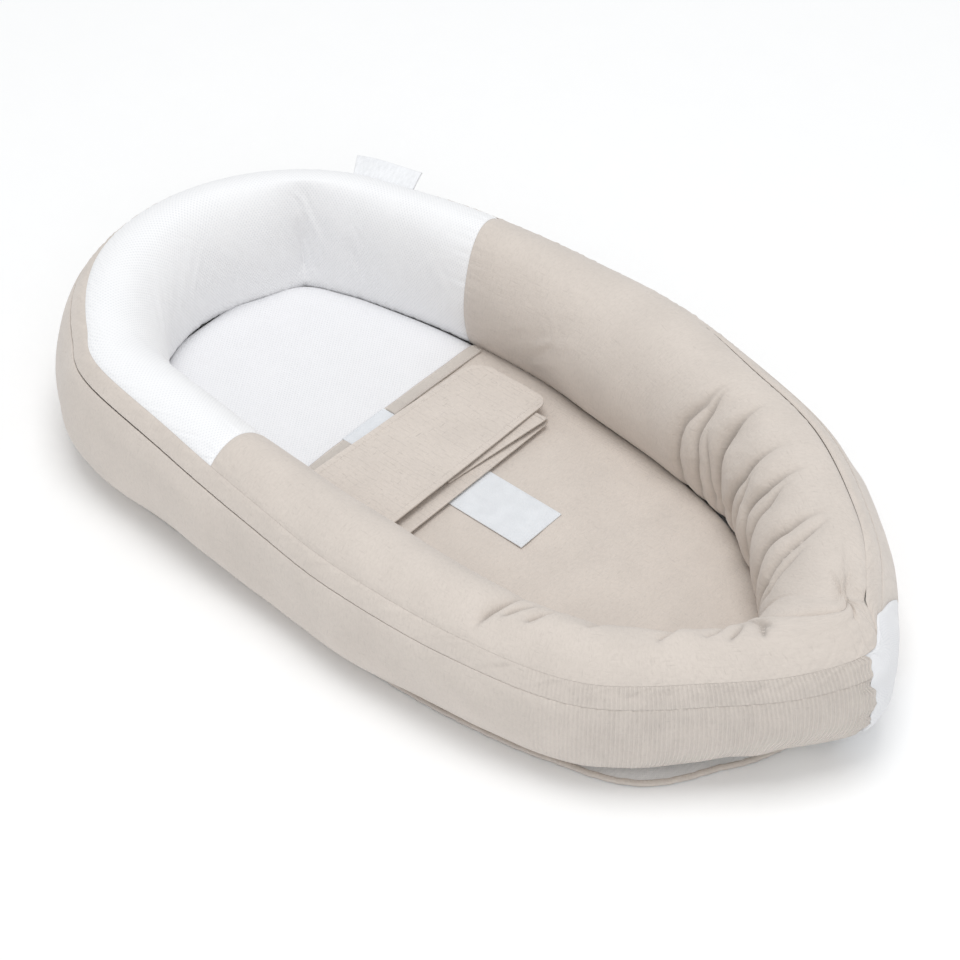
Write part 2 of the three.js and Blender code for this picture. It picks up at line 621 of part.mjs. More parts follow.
const bindingTop = BASE_THICK + GAP + BINDING_THICK;
const bindingOutline = [
  [0, BINDING_LIFT],
  [BINDING_THICK, BINDING_LIFT],
  [BINDING_THICK, BASE_THICK + GAP],
  [BINDING_WIDTH, BASE_THICK + GAP],
  [BINDING_WIDTH, bindingTop],
  [0, bindingTop],
];
const bindingPoint = (at, inset, z) => basePoint(at, baseInset(at) + inset, z);
addTo(lounger, 'base_binding', sweep(basePlaces, bindingOutline, bindingPoint, true), cotton());

// Mattress: a foam core under two sewn sheets, mesh at the head and cotton at the foot
const contactPoints = wholeRing.map((at) => between(at, (s) => {
  const point = sectionPoint(s, 180 + THREE.MathUtils.radToDeg(s.contact), 0);
  return point.addScaledVector(s.inward, MATTRESS_PLAY);
}));
const mattressEnds = new THREE.Box3().setFromPoints(contactPoints);
const mattressMiddle = mattressEnds.getCenter(new THREE.Vector3());
const mattressSize = mattressEnds.getSize(new THREE.Vector3());

function crownAt(x, y) {
  const along = (2 * (x - mattressMiddle.x)) / mattressSize.x;
  const across = (2 * (y - mattressMiddle.y)) / mattressSize.y;
  return MATTRESS_CROWN * Math.max(1 - along ** 2, 0) * Math.max(1 - across ** 2, 0);
}

// Pad with the mattress's outline, between a crowned top and a crowned or flat underside
const PAD_RING_SHARES = [1, 0.7, 0.4];
function pad(top, bottom, crowned) {
  const count = contactPoints.length;
  const level = (z, dome) => PAD_RING_SHARES.flatMap((share) => contactPoints.map((edge) => {
    const point = mattressMiddle.clone().lerp(edge, share);
    return point.setZ(z + dome * crownAt(point.x, point.y));
  }));
  const upper = level(top, 1);
  const lower = level(bottom, crowned ? 1 : 0);
  const crown = crownAt(mattressMiddle.x, mattressMiddle.y);
  const middleTop = mattressMiddle.clone().setZ(top + crown);
  const middleBottom = mattressMiddle.clone().setZ(bottom + (crowned ? crown : 0));
  const points = [...upper, ...lower, middleTop, middleBottom];
  const under = upper.length;
  const triangles = [];
  const ringCount = PAD_RING_SHARES.length;
  for (let j = 0; j < count; j++) {
    const next = (j + 1) % count;
    for (let ring = 0; ring < ringCount - 1; ring++) {
      const a = ring * count;
      const b = a + count;
      triangles.push([a + j, a + next, b + next], [a + j, b + next, b + j]);
      triangles.push([under + a + j, under + b + next, under + a + next]);
      triangles.push([under + a + j, under + b + j, under + b + next]);
    }
    const last = (ringCount - 1) * count;
    triangles.push([last + j, last + next, points.length - 2]);
    triangles.push([under + last + next, under + last + j, points.length - 1]);
    triangles.push([under + j, under + next, next], [under + j, next, j]);
  }
  return solidFrom(points, triangles);
}

const sheetBottom = MATTRESS_LEVEL - SHEET_THICK;
addTo(lounger, 'mattress_core', pad(sheetBottom - GAP, floorOfRing, false), foam());

const sheet = toManifold(pad(MATTRESS_LEVEL, sheetBottom, true));
const beyond = LENGTH;
const headSide = blockBetween(-beyond, FABRIC_CHANGE - SEAM_SPLIT / 2, -beyond, beyond, -beyond, beyond);
const footSide = blockBetween(FABRIC_CHANGE + SEAM_SPLIT / 2, beyond * 2, -beyond, beyond, -beyond, beyond);
addTo(lounger, 'mattress_mesh_top', fromManifold(sheet.intersect(toManifold(headSide))), spacer());
addTo(lounger, 'mattress_cotton_top', fromManifold(sheet.intersect(toManifold(footSide))), cotton());

// Band that lies on the crowned sheets
const BAND_STEPS = 6;
function band(x0, x1, y0, y1, thick) {
  const geometry = new THREE.BoxGeometry(x1 - x0, y1 - y0, thick, BAND_STEPS, BAND_STEPS, 1);
  geometry.translate((x0 + x1) / 2, (y0 + y1) / 2, MATTRESS_LEVEL + GAP + thick / 2);
  const spots = geometry.attributes.position;
  for (let i = 0; i < spots.count; i++) {
    spots.setZ(i, spots.getZ(i) + crownAt(spots.getX(i), spots.getY(i)));
  }
  return geometry;
}

const stripStart = LOOP_STRIP_END - LOOP_STRIP_LENGTH;
const halfStrip = LOOP_STRIP_WIDTH / 2;
const loopStrip = band(stripStart, LOOP_STRIP_END, -halfStrip, halfStrip, LOOP_STRIP_THICK);
addTo(lounger, 'loop_strip', loopStrip, tape());

// Turned hem of the cotton sheet, in two lengths that stop at the loop strip
const hemPlay = HEM_OVERLAP + MATTRESS_PLAY;
const hemStart = FABRIC_CHANGE + SEAM_SPLIT / 2;
const hemEnd = hemStart + HEM_WIDTH;
const hemReach = (side) => {
  const reaches = contactPoints.filter((p) => p.y * side > 0 && Math.abs(p.x - hemStart) < HEM_SEARCH);
  return Math.min(...reaches.map((p) => Math.abs(p.y))) - hemPlay;
};
const nearHem = band(hemStart, hemEnd, -hemReach(-1), -halfStrip - GAP, HEM_THICK);
const farHem = band(hemStart, hemEnd, halfStrip + GAP, hemReach(1), HEM_THICK);
addTo(lounger, 'hem_near', nearHem, cotton());
addTo(lounger, 'hem_far', farHem, cotton());

// Belt: a panel across the mattress whose two ends turn up into a wing each
const stripTop = MATTRESS_LEVEL + MATTRESS_CROWN + GAP + LOOP_STRIP_THICK;
const hookBottom = stripTop + GAP;
const beltBottom = hookBottom + PATCH_THICK + GAP;
const beltMiddle = beltBottom + BELT_THICK / 2;
const belt = new THREE.Group();
belt.position.set(BELT_START, 0, 0);
lounger.add(belt);

// Side view of the panel: straight, with a half turn up at each fold
const halfBelt = BELT_THICK / 2;
const nearRadius = NEAR_FOLD_HEIGHT / 2;
const farRadius = FAR_FOLD_HEIGHT / 2;
const nearCentre = -NEAR_FOLD - HINGE_PLAY - halfBelt;
const farCentre = FAR_FOLD + HINGE_PLAY + halfBelt;
const side = new THREE.Shape();
const quarter = Math.PI / 2;
side.moveTo(nearCentre, beltMiddle - halfBelt);
side.lineTo(farCentre, beltMiddle - halfBelt);
side.absarc(farCentre, beltMiddle + farRadius, farRadius + halfBelt, -quarter, quarter, false);
side.absarc(farCentre, beltMiddle + farRadius, farRadius - halfBelt, quarter, -quarter, true);
side.lineTo(nearCentre, beltMiddle + halfBelt);
side.absarc(nearCentre, beltMiddle + nearRadius, nearRadius - halfBelt, -quarter, -3 * quarter, true);
side.absarc(nearCentre, beltMiddle + nearRadius, nearRadius + halfBelt, -3 * quarter, -quarter, false);
const acrossBelt = new THREE.Matrix4().makeBasis(
  new THREE.Vector3(0, 1, 0),
  new THREE.Vector3(0, 0, 1),
  new THREE.Vector3(1, 0, 0),
);
const panelSide = { depth: BELT_WIDTH, bevelEnabled: false, curveSegments: 8 };
const beltPanel = new THREE.ExtrudeGeometry(side, panelSide).applyMatrix4(acrossBelt);
addTo(belt, 'belt_panel', beltPanel, cotton());

// Square patch of hooks or loops whose near lower corner is given
const beltCentre = BELT_WIDTH / 2;
const patch = (y, z) => blockBetween(
  beltCentre - PATCH_SIZE / 2, beltCentre + PATCH_SIZE / 2, y, y + PATCH_SIZE, z, z + PATCH_THICK,
);
addTo(belt, 'belt_hook_patch', patch(-PATCH_SIZE / 2, hookBottom), tape());

// Near wing: from its fold over the belt, a little nearer the head, to a rounded free end
const nearPivot = beltMiddle + NEAR_FOLD_HEIGHT;
const nearWing = new THREE.Group();
nearWing.position.set(-NEAR_WING_SHIFT, -NEAR_FOLD, nearPivot);
belt.add(nearWing);
const taper = NEAR_WING_ROOT - NEAR_WING_TIP;
const wingShape = new THREE.Shape();
wingShape.moveTo(0, 0);
wingShape.lineTo(NEAR_WING_ROOT, 0);
wingShape.lineTo(NEAR_WING_ROOT, NEAR_WING_LENGTH - WING_FOOT_CORNER);
wingShape.absarc(
  NEAR_WING_ROOT - WING_FOOT_CORNER, NEAR_WING_LENGTH - WING_FOOT_CORNER, WING_FOOT_CORNER, 0, quarter, false,
);
wingShape.absarc(
  taper + WING_HEAD_CORNER, NEAR_WING_LENGTH - WING_HEAD_CORNER, WING_HEAD_CORNER, quarter, 2 * quarter, false,
);
wingShape.lineTo(0, 0);
const wingSide = { depth: BELT_THICK, bevelEnabled: false, curveSegments: 5 };
const wing = new THREE.ExtrudeGeometry(wingShape, wingSide).translate(0, 0, -halfBelt);
addTo(nearWing, 'belt_near_wing', wing, cotton());
const wingPatch = patch(WING_PATCH_START, -halfBelt - GAP - PATCH_THICK).translate(NEAR_WING_SHIFT, 0, 0);
addTo(nearWing, 'belt_near_wing_hooks', wingPatch, tape());

// Far wing: folded in under the near one. Its free end is narrower and rests on the panel.
const farPivot = beltMiddle + FAR_FOLD_HEIGHT;
const farWing = new THREE.Group();
farWing.position.set(0, FAR_FOLD, farPivot);
farWing.rotation.x = Math.asin((FAR_FOLD_HEIGHT - BELT_THICK - GAP) / FAR_WING_LENGTH);
belt.add(farWing);
const farShape = new THREE.Shape([
  new THREE.Vector2(0, 0),
  new THREE.Vector2(0, -FAR_WING_LENGTH),
  new THREE.Vector2(FAR_WING_TIP, -FAR_WING_LENGTH),
  new THREE.Vector2(BELT_WIDTH, 0),
]);
const farCloth = new THREE.ExtrudeGeometry(farShape, wingSide).translate(0, 0, -halfBelt);
addTo(farWing, 'belt_far_wing', farCloth, cotton());
const farPatch = patch(-FAR_PATCH_START - PATCH_SIZE, -halfBelt - GAP - PATCH_THICK);
addTo(farWing, 'belt_far_wing_loops', farPatch, tape());

// Blank folded label, sewn into the bolster seam behind the head
const tabAt = BACK_SEAM + (HEAD_ARC_FROM - TAB_PARK) / HEAD_ARC_STEP;
const tabHalf = pointsFor(tabAt, TAB_LENGTH) / 2;
const foldTurn = degreesFor(TAB_SPLIT) / 2;
const plyTurn = foldTurn + degreesFor(TAB_PLY);
const tabTop = -TAB_HEIGHT;
const tabOutline = [
  [seamAngle - plyTurn, -GAP],
  [seamAngle - plyTurn, tabTop],
  [seamAngle + plyTurn, tabTop],
  [seamAngle + plyTurn, -GAP],
  [seamAngle + foldTurn, -GAP],
  [seamAngle + foldTurn, tabTop + TAB_PLY],
  [seamAngle - foldTurn, tabTop + TAB_PLY],
  [seamAngle - foldTurn, -GAP],
];
const tabPlaces = placesBetween(tabAt - tabHalf, tabAt + tabHalf);
addTo(lounger, 'label_tab', sweep(tabPlaces, tabOutline, ringPoint), tape());

// The frame's origin is the middle of the footprint, on the floor
const ends = new THREE.Box3().setFromObject(lounger);
const middle = ends.getCenter(new THREE.Vector3());
lounger.position.set(-middle.x, -middle.y, -ends.min.z);
const group = new THREE.Group();
group.add(lounger);

export default group;
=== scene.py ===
"""Infant lounger: sewn covers, belt, zip and studio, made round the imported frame.

Lengths are in metres and +Z is up. The ring is read by two numbers. The place counts the points
of its outline, from the foot tip along the far side, round the head and back along the near side.
The degrees go round its section, with 0 on the outer face, 90 at the crown and 180 on the inner
face.
"""

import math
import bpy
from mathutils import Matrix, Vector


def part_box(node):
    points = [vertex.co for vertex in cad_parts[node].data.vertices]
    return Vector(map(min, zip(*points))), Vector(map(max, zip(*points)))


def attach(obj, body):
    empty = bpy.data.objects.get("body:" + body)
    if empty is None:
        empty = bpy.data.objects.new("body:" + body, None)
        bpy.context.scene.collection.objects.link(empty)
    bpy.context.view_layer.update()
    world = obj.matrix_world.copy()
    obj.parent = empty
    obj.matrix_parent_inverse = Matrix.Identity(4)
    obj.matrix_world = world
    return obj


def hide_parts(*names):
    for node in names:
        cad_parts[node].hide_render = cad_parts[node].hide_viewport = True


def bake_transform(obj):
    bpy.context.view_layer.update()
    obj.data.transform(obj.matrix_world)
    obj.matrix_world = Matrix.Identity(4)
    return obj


bl_info = {
    "name": "Infant lounger",
    "version": (1, 0, 0),
    "blender": (4, 5, 0),
    "location": "View3D > Sidebar > Lounger",
    "description": "Makes the sewn covers, belt, zip and studio of an infant lounger",
    "category": "Object",
}

import bpy
import numpy as np
from mathutils import Vector

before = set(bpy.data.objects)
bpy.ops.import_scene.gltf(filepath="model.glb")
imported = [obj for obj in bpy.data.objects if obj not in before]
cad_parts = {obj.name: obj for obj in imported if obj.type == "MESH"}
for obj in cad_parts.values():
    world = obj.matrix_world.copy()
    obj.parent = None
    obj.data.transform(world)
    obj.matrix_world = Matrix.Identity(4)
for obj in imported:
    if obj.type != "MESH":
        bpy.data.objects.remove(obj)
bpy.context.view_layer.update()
MM = 0.001

# Ring, with the same outline and section as the frame
LENGTH = 0.791
SIDE_REACH = 0.220
HEAD_RADIUS = 0.196
HEAD_SHIFT = 0.005
HEAD_HEIGHT = 0.131
MIDDLE_HEIGHT = 0.124
FOOT_HEIGHT = 0.133
FOOT_LIFT = 0.022
NEAR_DIP = 0.009
CROWN_OUT = 0.046
FLOOR_OF_RING = 0.0033
UPPER_POWER = 2.05
LOWER_POWER = 2.5
LEVEL_HEAD_SHARE, MIDDLE_SHARE, FOOT_SHARE, LIFT_SHARE = 0.21, 0.5, 0.95, 0.72
NEAR_ZIP_CLIMB, FAR_ZIP_CLIMB = 0.023, 0.027
CLIMB_ANGLES = (-30, 20, 50, 110)
CLIMB_FROM, CLIMB_TO, DIP_FROM = 12.5, 20.7, 20.5
FAR_CLIMB_PLACES = (0, 0.5, 3.6, 5.6)
OUTER_FAR = [(1, -0.02), (0.968, 0.22), (0.912, 0.46), (0.806, 0.755), (0.684, 0.914),
             (0.547, 1.018), (0.422, 1.005), (0.29, 0.935)]
OUTER_NEAR = [(0.301, -0.9), (0.427, -0.922), (0.542, -0.948), (0.681, -0.915),
              (0.812, -0.795), (0.912, -0.493), (0.973, -0.255)]
INNER_FAR = [(0.872, -0.02), (0.84, 0.125), (0.794, 0.29), (0.718, 0.468), (0.622, 0.559),
             (0.516, 0.605), (0.426, 0.641), (0.31, 0.627)]
INNER_NEAR = [(0.31, -0.55), (0.427, -0.57), (0.531, -0.575), (0.645, -0.57),
              (0.757, -0.5), (0.83, -0.35), (0.865, -0.18), (0.872, -0.02)]
HEAD_INNER = np.array([0.68, 0.69, 0.718, 0.66, 0.64, 0.625, 0.605, 0.595, 0.585, 0.58, 0.58])
HEAD_ARC_FROM, HEAD_ARC_STEP = 80, 15
BACK_SEAM = 8

# Fabric layers
COVER_THICK = 0.0025
FLAP_THICK = 0.0014
ZIP_ANGLE = 27
STRIP_WIDTH = 0.019
CONTACT_ANGLE = 221
TUCKED_ANGLE = 233
WALL_FOOT_ANGLE = -80
FAR_COVER_END = 0.256
NEAR_COVER_END = 0.281
GUSSET_FROM, GUSSET_TO = -0.22, 0.6
# How far the gusset's far end slants away from its place, lower down the wall
GUSSET_SLANT_DEGREES = (-20, 0, 27, 52)
GUSSET_SLANT_PLACES = (0.9, 0.8, -0.06, -0.6)
SEAM_SPLIT = 0.0005
CLOSED_SPLIT = 0.0001
GAP = 0.0003

# Mattress and what lies on it
MATTRESS_LEVEL = 0.0215
MATTRESS_CROWN = 0.0025
SHEET_THICK = 0.0016
MATTRESS_PLAY = 0.0006
FABRIC_CHANGE = 0.267

HEAD_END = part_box("side_wall_near")[1].x - LENGTH
AXIS_Y = (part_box("loop_strip")[0].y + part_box("loop_strip")[1].y) / 2
ORIGIN = np.array([HEAD_END, AXIS_Y, 0])

# Creases of the far cover, each as (place, degrees) from the inner edge up to the crown
FAR_CREASES = [
    [(3.74, 192), (3.74, 156), (3.68, 132), (3.72, 112)],
    [(3.46, 178), (3.54, 160), (3.60, 132), (3.66, 114)],
    [(3.22, 196), (3.30, 172), (3.42, 150)],
    [(3.12, 194), (3.18, 165), (3.24, 134), (3.30, 108)],
    [(2.84, 196), (2.74, 177), (2.68, 152), (2.74, 114)],
    [(2.58, 190), (2.54, 167), (2.60, 142)],
    [(2.20, 186), (2.32, 165), (2.32, 138), (2.42, 108)],
    [(2.02, 170), (2.12, 143), (2.26, 122)],
    [(1.34, 172), (1.48, 150), (1.56, 130), (1.76, 106)],
    [(0.82, 162), (1.06, 142), (1.30, 123), (1.62, 102)],
    [(0.54, 158), (0.84, 138), (1.12, 118)],
]
# How deep each of those creases is, as a share
FAR_CREASE_SHARES = (0.7, 0.8, 0.6, 1.2, 0.9, 0.5, 0.9, 0.7, 0.8, 0.8, 0.45)
# Short tucks on the near cover's inner crest
NEAR_TUCKS = [
    [(22.30, 106), (22.22, 84), (22.14, 60)],
    [(22.43, 106), (22.30, 80)],
    [(22.62, 112), (22.49, 84)],
    [(23.14, 132), (23.00, 104)],
    [(23.88, 122), (23.60, 86)],
    [(24.42, 120), (24.08, 90)],
    [(24.62, 112), (24.30, 84)],
    [(24.94, 112), (24.72, 86)],
    [(25.02, 128), (24.94, 96)],
]
NEAR_TUCK_SHARES = (1.3, 0.9, 1.2, 1.0, 1.2, 1.1, 0.8, 0.8, 0.5)
HEAD_NOTCH = [[(10.04, 215), (10.10, 182), (10.15, 158)]]
# Seam that joins the two ends of the ring at the foot, as degrees and places
FOOT_SEAM_DEGREES = [46, 55, 65, 76, 82, 90, 98, 104, 110, 125, 150, 221]
FOOT_SEAM_PLACES = [-0.14, -0.14, -0.08, 0.02, 0.36, 0.04, -0.3, -0.46, -0.62, -0.74, -0.66, -0.3]
FOOT_PINCH = (0.36, 81)
# Height and reach of the pinch's dent, of the knot in it and of the puckers round it
DENT, KNOT, PUCKERS = (0.0065, 0.012), (0.0012, 0.0035), (0.0020, 0.026)
PUCKERS_FROM, PUCKERS_FULL = 0.003, 0.010
METRES_PER_DEGREE = 0.0011
# Step at that seam: its depth, and its reach on the far side and on the near one
FOOT_STEP, STEP_FAR, STEP_NEAR = 0.0065, 0.012, 0.003

# Form of a crease: the sharp line at its bottom and the rounding of its edges
CREASE_LINE, CREASE_ROUND = 0.0014, 0.0011
# Degrees by which a line that ends on the crest runs on straight, and over which a crease fades
CREST_TURN, RUNS_ON, INNER_TURN, FADE_FROM, LEAST_FADE = 140, 40, 165, 196, 24
NOTCH_DEPTH = 0.009
# Swelling of the stuffed cover beyond the plain ring: its height, first and last place
FAR_SWELL, NEAR_SWELL = (0.0032, 0.4, 5), (0.0016, 21.4, 26.4)
# Height and size of its wide and its small lumps
WIDE_LUMPS, SMALL_LUMPS = (0.0008, 0.11), (0.0006, 0.03)
# Places where the cover lies loose on its filling, and how far it does elsewhere
FAR_LOOSE, NEAR_LOOSE, LEAST_LOOSE = (0.2, 5.2), (21, 26.6), 0.12
# How far the outer seam gapes where the far side bends, and how its groove changes
SEAM_GAPE, FAR_BEND = 0.0007, (0.8, 5.8)
DEEPER, DEEP_PLACES, FLATTER, FLAT_PLACES = 1.8, (0.8, 5.6), 0.7, (21.5, 23)
# Width of the roll by which a cloth turns in at its seams, and the gathers that leave them
ROLL_WIDTH = 0.0028
GATHER_SIZE, GATHER_REACH, GATHER_SEED = 0.009, 0.012, 11


class LoungerCovers(bpy.types.PropertyGroup):
    """Folds, seams and stitches of the sewn covers"""
    crease_depth: bpy.props.FloatProperty(
        name="Crease depth", description="Depth of the folds in the far cover near the foot",
        default=0.0085, min=0, unit="LENGTH")
    tuck_depth: bpy.props.FloatProperty(
        name="Tuck depth", description="Depth of the short tucks on the near cover",
        default=0.0062, min=0, unit="LENGTH")
    seam_depth: bpy.props.FloatProperty(
        name="Seam depth", description="How deep a cover turns in at its seams",
        default=0.0009, min=0, unit="LENGTH")
    pucker_height: bpy.props.FloatProperty(
        name="Pucker height", description="Height of the small gathers beside a seam",
        default=0.00035, min=0, unit="LENGTH")
    looseness: bpy.props.FloatProperty(
        name="Looseness", description="How much larger than the filling the loose parts are cut",
        default=0.025, min=0, max=0.2, subtype="FACTOR")
    stitch_length: bpy.props.FloatProperty(
        name="Stitch length", description="Distance from one stitch to the next",
        default=0.0034, min=0.001, unit="LENGTH")


class LoungerBelt(bpy.types.PropertyGroup):
    """Sizes of the folded belt"""
    start: bpy.props.FloatProperty(
        name="Start", description="Distance of the belt from the head end",
        default=0.293, unit="LENGTH")
    width: bpy.props.FloatProperty(
        name="Width", description="Width of the belt panel", default=0.093, unit="LENGTH")
    thickness: bpy.props.FloatProperty(
        name="Thickness", description="Thickness of the sewn belt", default=0.002, unit="LENGTH")
    near_wing: bpy.props.FloatProperty(
        name="Near wing", description="Length of the near wing from its fold",
        default=0.212, unit="LENGTH")
    far_wing: bpy.props.FloatProperty(
        name="Far wing", description="Length of the far wing from its fold",
        default=0.104, unit="LENGTH")


class LoungerColours(bpy.types.PropertyGroup):
    """Colours of the fabrics, as sRGB hex"""
    cotton: bpy.props.StringProperty(
        name="Cotton", description="Crinkled cotton of covers, walls and belt", default="#DAD0C7")
    # The head's mesh colour is set lighter than the other copy of the spacer mesh, as painted light
    mesh: bpy.props.StringProperty(
        name="Spacer mesh", description="White waffle mesh of the head", default="#F9F9FA")
    tape: bpy.props.StringProperty(
        name="Loop tape", description="Hook-and-loop tape and patches", default="#E9ECF0")
    zip: bpy.props.StringProperty(
        name="Zip", description="Woven zip tape", default="#B9B1A9")
    floor: bpy.props.StringProperty(
        name="Floor", description="Studio floor", default="#FFFFFF")


class LoungerStudio(bpy.types.PropertyGroup):
    """Lights of the studio"""
    key: bpy.props.FloatProperty(
        name="Key light", description="Power of the large soft light overhead, in watts",
        default=67, min=0)
    fill: bpy.props.FloatProperty(
        name="Fill light", description="Power of the soft light in front, in watts",
        default=10.5, min=0)
    sky: bpy.props.FloatProperty(
        name="Surround", description="Strength of the white surround", default=0.595, min=0)


def share(value, low, high):
    part = np.clip((value - low) / (high - low), 0, 1)
    return part * part * (3 - 2 * part)


def swell(at, start, end):
    return np.sin(np.pi * np.clip((at - start) / (end - start), 0, 1)) ** 2


def bell(away, width):
    return np.exp(-((away / width) ** 2))


def super_power(value, power):
    return np.sign(value) * np.abs(value) ** (2 / power)


def head_points(radius):
    turns = np.radians(HEAD_ARC_FROM - HEAD_ARC_STEP * np.arange(len(HEAD_INNER)))
    return np.c_[HEAD_RADIUS - radius * np.cos(turns), radius * np.sin(turns) - HEAD_SHIFT]


SIDE_SIZE = np.array([LENGTH, SIDE_REACH])
OUTER = np.r_[np.array(OUTER_FAR) * SIDE_SIZE, head_points(np.full(len(HEAD_INNER), HEAD_RADIUS)),
              np.array(OUTER_NEAR) * SIDE_SIZE]
INNER = np.r_[np.array(INNER_FAR) * SIDE_SIZE, head_points(HEAD_INNER * HEAD_RADIUS),
              np.array(INNER_NEAR) * SIDE_SIZE]
POINTS = len(OUTER)


def along_curve(points, at, closed):
    """Catmull-Rom curve through the points, read at each place."""
    count = len(points)
    index = np.floor(at).astype(int)
    if closed:
        ends = [points[(index + step) % count] for step in (-1, 0, 1, 2)]
    else:
        index = np.clip(index, 0, count - 2)
        padded = np.r_[[2 * points[0] - points[1]], points, [2 * points[-1] - points[-2]]]
        ends = [padded[index + step] for step in (0, 1, 2, 3)]
    rest = (at - index)[:, None]
    before, start, end, after = ends
    leave, arrive = (end - before) / 2, (after - start) / 2
    return ((2 * start - 2 * end + leave + arrive) * rest**3
            + (3 * end - 3 * start - 2 * leave - arrive) * rest**2 + leave * rest + start)


MIDDLE_HALF = (MIDDLE_HEIGHT - FLOOR_OF_RING) / 2
WALL_RADIUS = math.hypot(CROWN_OUT * math.sin(math.radians(ZIP_ANGLE)),
                         MIDDLE_HALF * math.cos(math.radians(ZIP_ANGLE)))


def degrees_for(length):
    """Degrees of the section that a length along the wall takes up at the zip."""
    return np.degrees(length / WALL_RADIUS)


def zip_climb(at):
    """Degrees by which the zip climbs, on the near side behind the head and on the far one by the
    foot."""
    start, full, still, end = FAR_CLIMB_PLACES
    far = share(at, start, full) * (1 - share(at, still, end))
    return degrees_for(NEAR_ZIP_CLIMB * swell(at, CLIMB_FROM, CLIMB_TO) + FAR_ZIP_CLIMB * far)


def ring_station(at):
    at = at % POINTS
    outer = along_curve(OUTER, at, True)
    inner = along_curve(INNER, at, False)
    wide = np.linalg.norm(inner - outer, axis=1)
    inward = (inner - outer) / wide[:, None]
    along = outer[:, 0] / LENGTH
    to_middle = share(along, LEVEL_HEAD_SHARE, MIDDLE_SHARE)
    to_foot = share(along, MIDDLE_SHARE, FOOT_SHARE)
    level = HEAD_HEIGHT + (MIDDLE_HEIGHT - HEAD_HEIGHT) * to_middle
    level = level + (FOOT_HEIGHT - level) * to_foot - NEAR_DIP * swell(at, DIP_FROM, POINTS)
    half = (level - FLOOR_OF_RING) / 2
    contact = np.arcsin(((FLOOR_OF_RING + half - MATTRESS_LEVEL) / half) ** (LOWER_POWER / 2))
    inner_half = (wide - CROWN_OUT) / super_power(np.cos(contact), LOWER_POWER)
    return outer, inward, half, contact, inner_half, along, at


def ring_point(at, degrees, depth=0.0):
    """Point of the ring's skin, or the given depth below it."""
    at, degrees, depth = np.broadcast_arrays(*(np.asarray(v, float) for v in (at, degrees, depth)))
    shape = at.shape
    degrees, depth = degrees.ravel(), depth.ravel()
    outer, inward, half, _, inner_half, along, place = ring_station(at.ravel())
    lift = FOOT_LIFT * share(along, LIFT_SHARE, 1)
    climb = zip_climb(place)
    rise = share(degrees, *CLIMB_ANGLES[:2]) * (1 - share(degrees, *CLIMB_ANGLES[2:]))
    turn = np.radians(degrees + climb * rise)
    up, out = np.sin(turn), np.cos(turn)
    power = np.where(up < 0, LOWER_POWER, UPPER_POWER)
    width = np.where(out < 0, inner_half, CROWN_OUT)
    out_share, up_share = super_power(out, power), super_power(up, power)
    slope_out = np.sign(out_share) * np.abs(out_share) ** (power - 1) / width
    slope_up = np.sign(up_share) * np.abs(up_share) ** (power - 1) / half
    steep = np.hypot(slope_out, slope_up)
    outward = out_share * width - slope_out / steep * depth - CROWN_OUT
    flat = outer - inward * outward[:, None]
    raised = lift * np.maximum(out_share, 0) * np.maximum(-up_share, 0)
    height = FLOOR_OF_RING + half * (1 + up_share) + raised - slope_up / steep * depth
    return (np.c_[flat, height] + ORIGIN).reshape(shape + (3,))


def base_point(at, inset, height):
    at, inset, height = np.broadcast_arrays(*(np.asarray(v, float) for v in (at, inset, height)))
    outer, inward = ring_station(at.ravel())[:2]
    flat = outer + inward * inset.ravel()[:, None]
    return (np.c_[flat, height.ravel()] + ORIGIN).reshape(at.shape + (3,))


def places_for(at, length, degrees=90):
    ends = ring_point([at - 0.1, at + 0.1], degrees)
    return length * 0.2 / np.linalg.norm(ends[1] - ends[0])


def crossing(x, low, high):
    """Place at which the crown crosses a line across the lounger."""
    rising = ring_point(high, 90)[0] > ring_point(low, 90)[0]
    for _ in range(40):
        middle = (low + high) / 2
        if (ring_point(middle, 90)[0] < x + HEAD_END) == rising:
            low = middle
        else:
            high = middle
    return (low + high) / 2


SEAM_ANGLE = ZIP_ANGLE + degrees_for(STRIP_WIDTH)
FAR_CHANGE = crossing(FAR_COVER_END, 4.5, BACK_SEAM)
NEAR_CHANGE = crossing(NEAR_COVER_END, BACK_SEAM + len(HEAD_INNER) - 1, DIP_FROM + 1)


def seam_gap(at):
    """Half of the gap between cover and strip, in degrees: it gapes where the far side bends."""
    return degrees_for(CLOSED_SPLIT + SEAM_GAPE * swell(at % POINTS, *FAR_BEND)) / 2


def seam_groove(depth):
    """How deep a cloth turns in at its seams: deeper where the far side bends, flat by the near
    foot."""
    def groove(at):
        place = at % POINTS
        return depth * (1 + DEEPER * swell(place, *DEEP_PLACES) - FLATTER * share(place, *FLAT_PLACES))

    return groove


def lumps(points, size, seed):
    """Smooth bumps of about the given size, from -1 to 1, the same on every run."""
    waves = np.random.default_rng(seed)
    total = np.zeros(points.shape[:-1])
    count = 14
    for _ in range(count):
        way = waves.normal(size=3)
        way *= 2 * np.pi / size * waves.uniform(0.6, 1.5) / np.linalg.norm(way)
        total += np.sin(points @ way + waves.uniform(0, 2 * np.pi))
    return total / math.sqrt(count)


def foot_seam(degrees):
    return np.interp(degrees, FOOT_SEAM_DEGREES, FOOT_SEAM_PLACES)


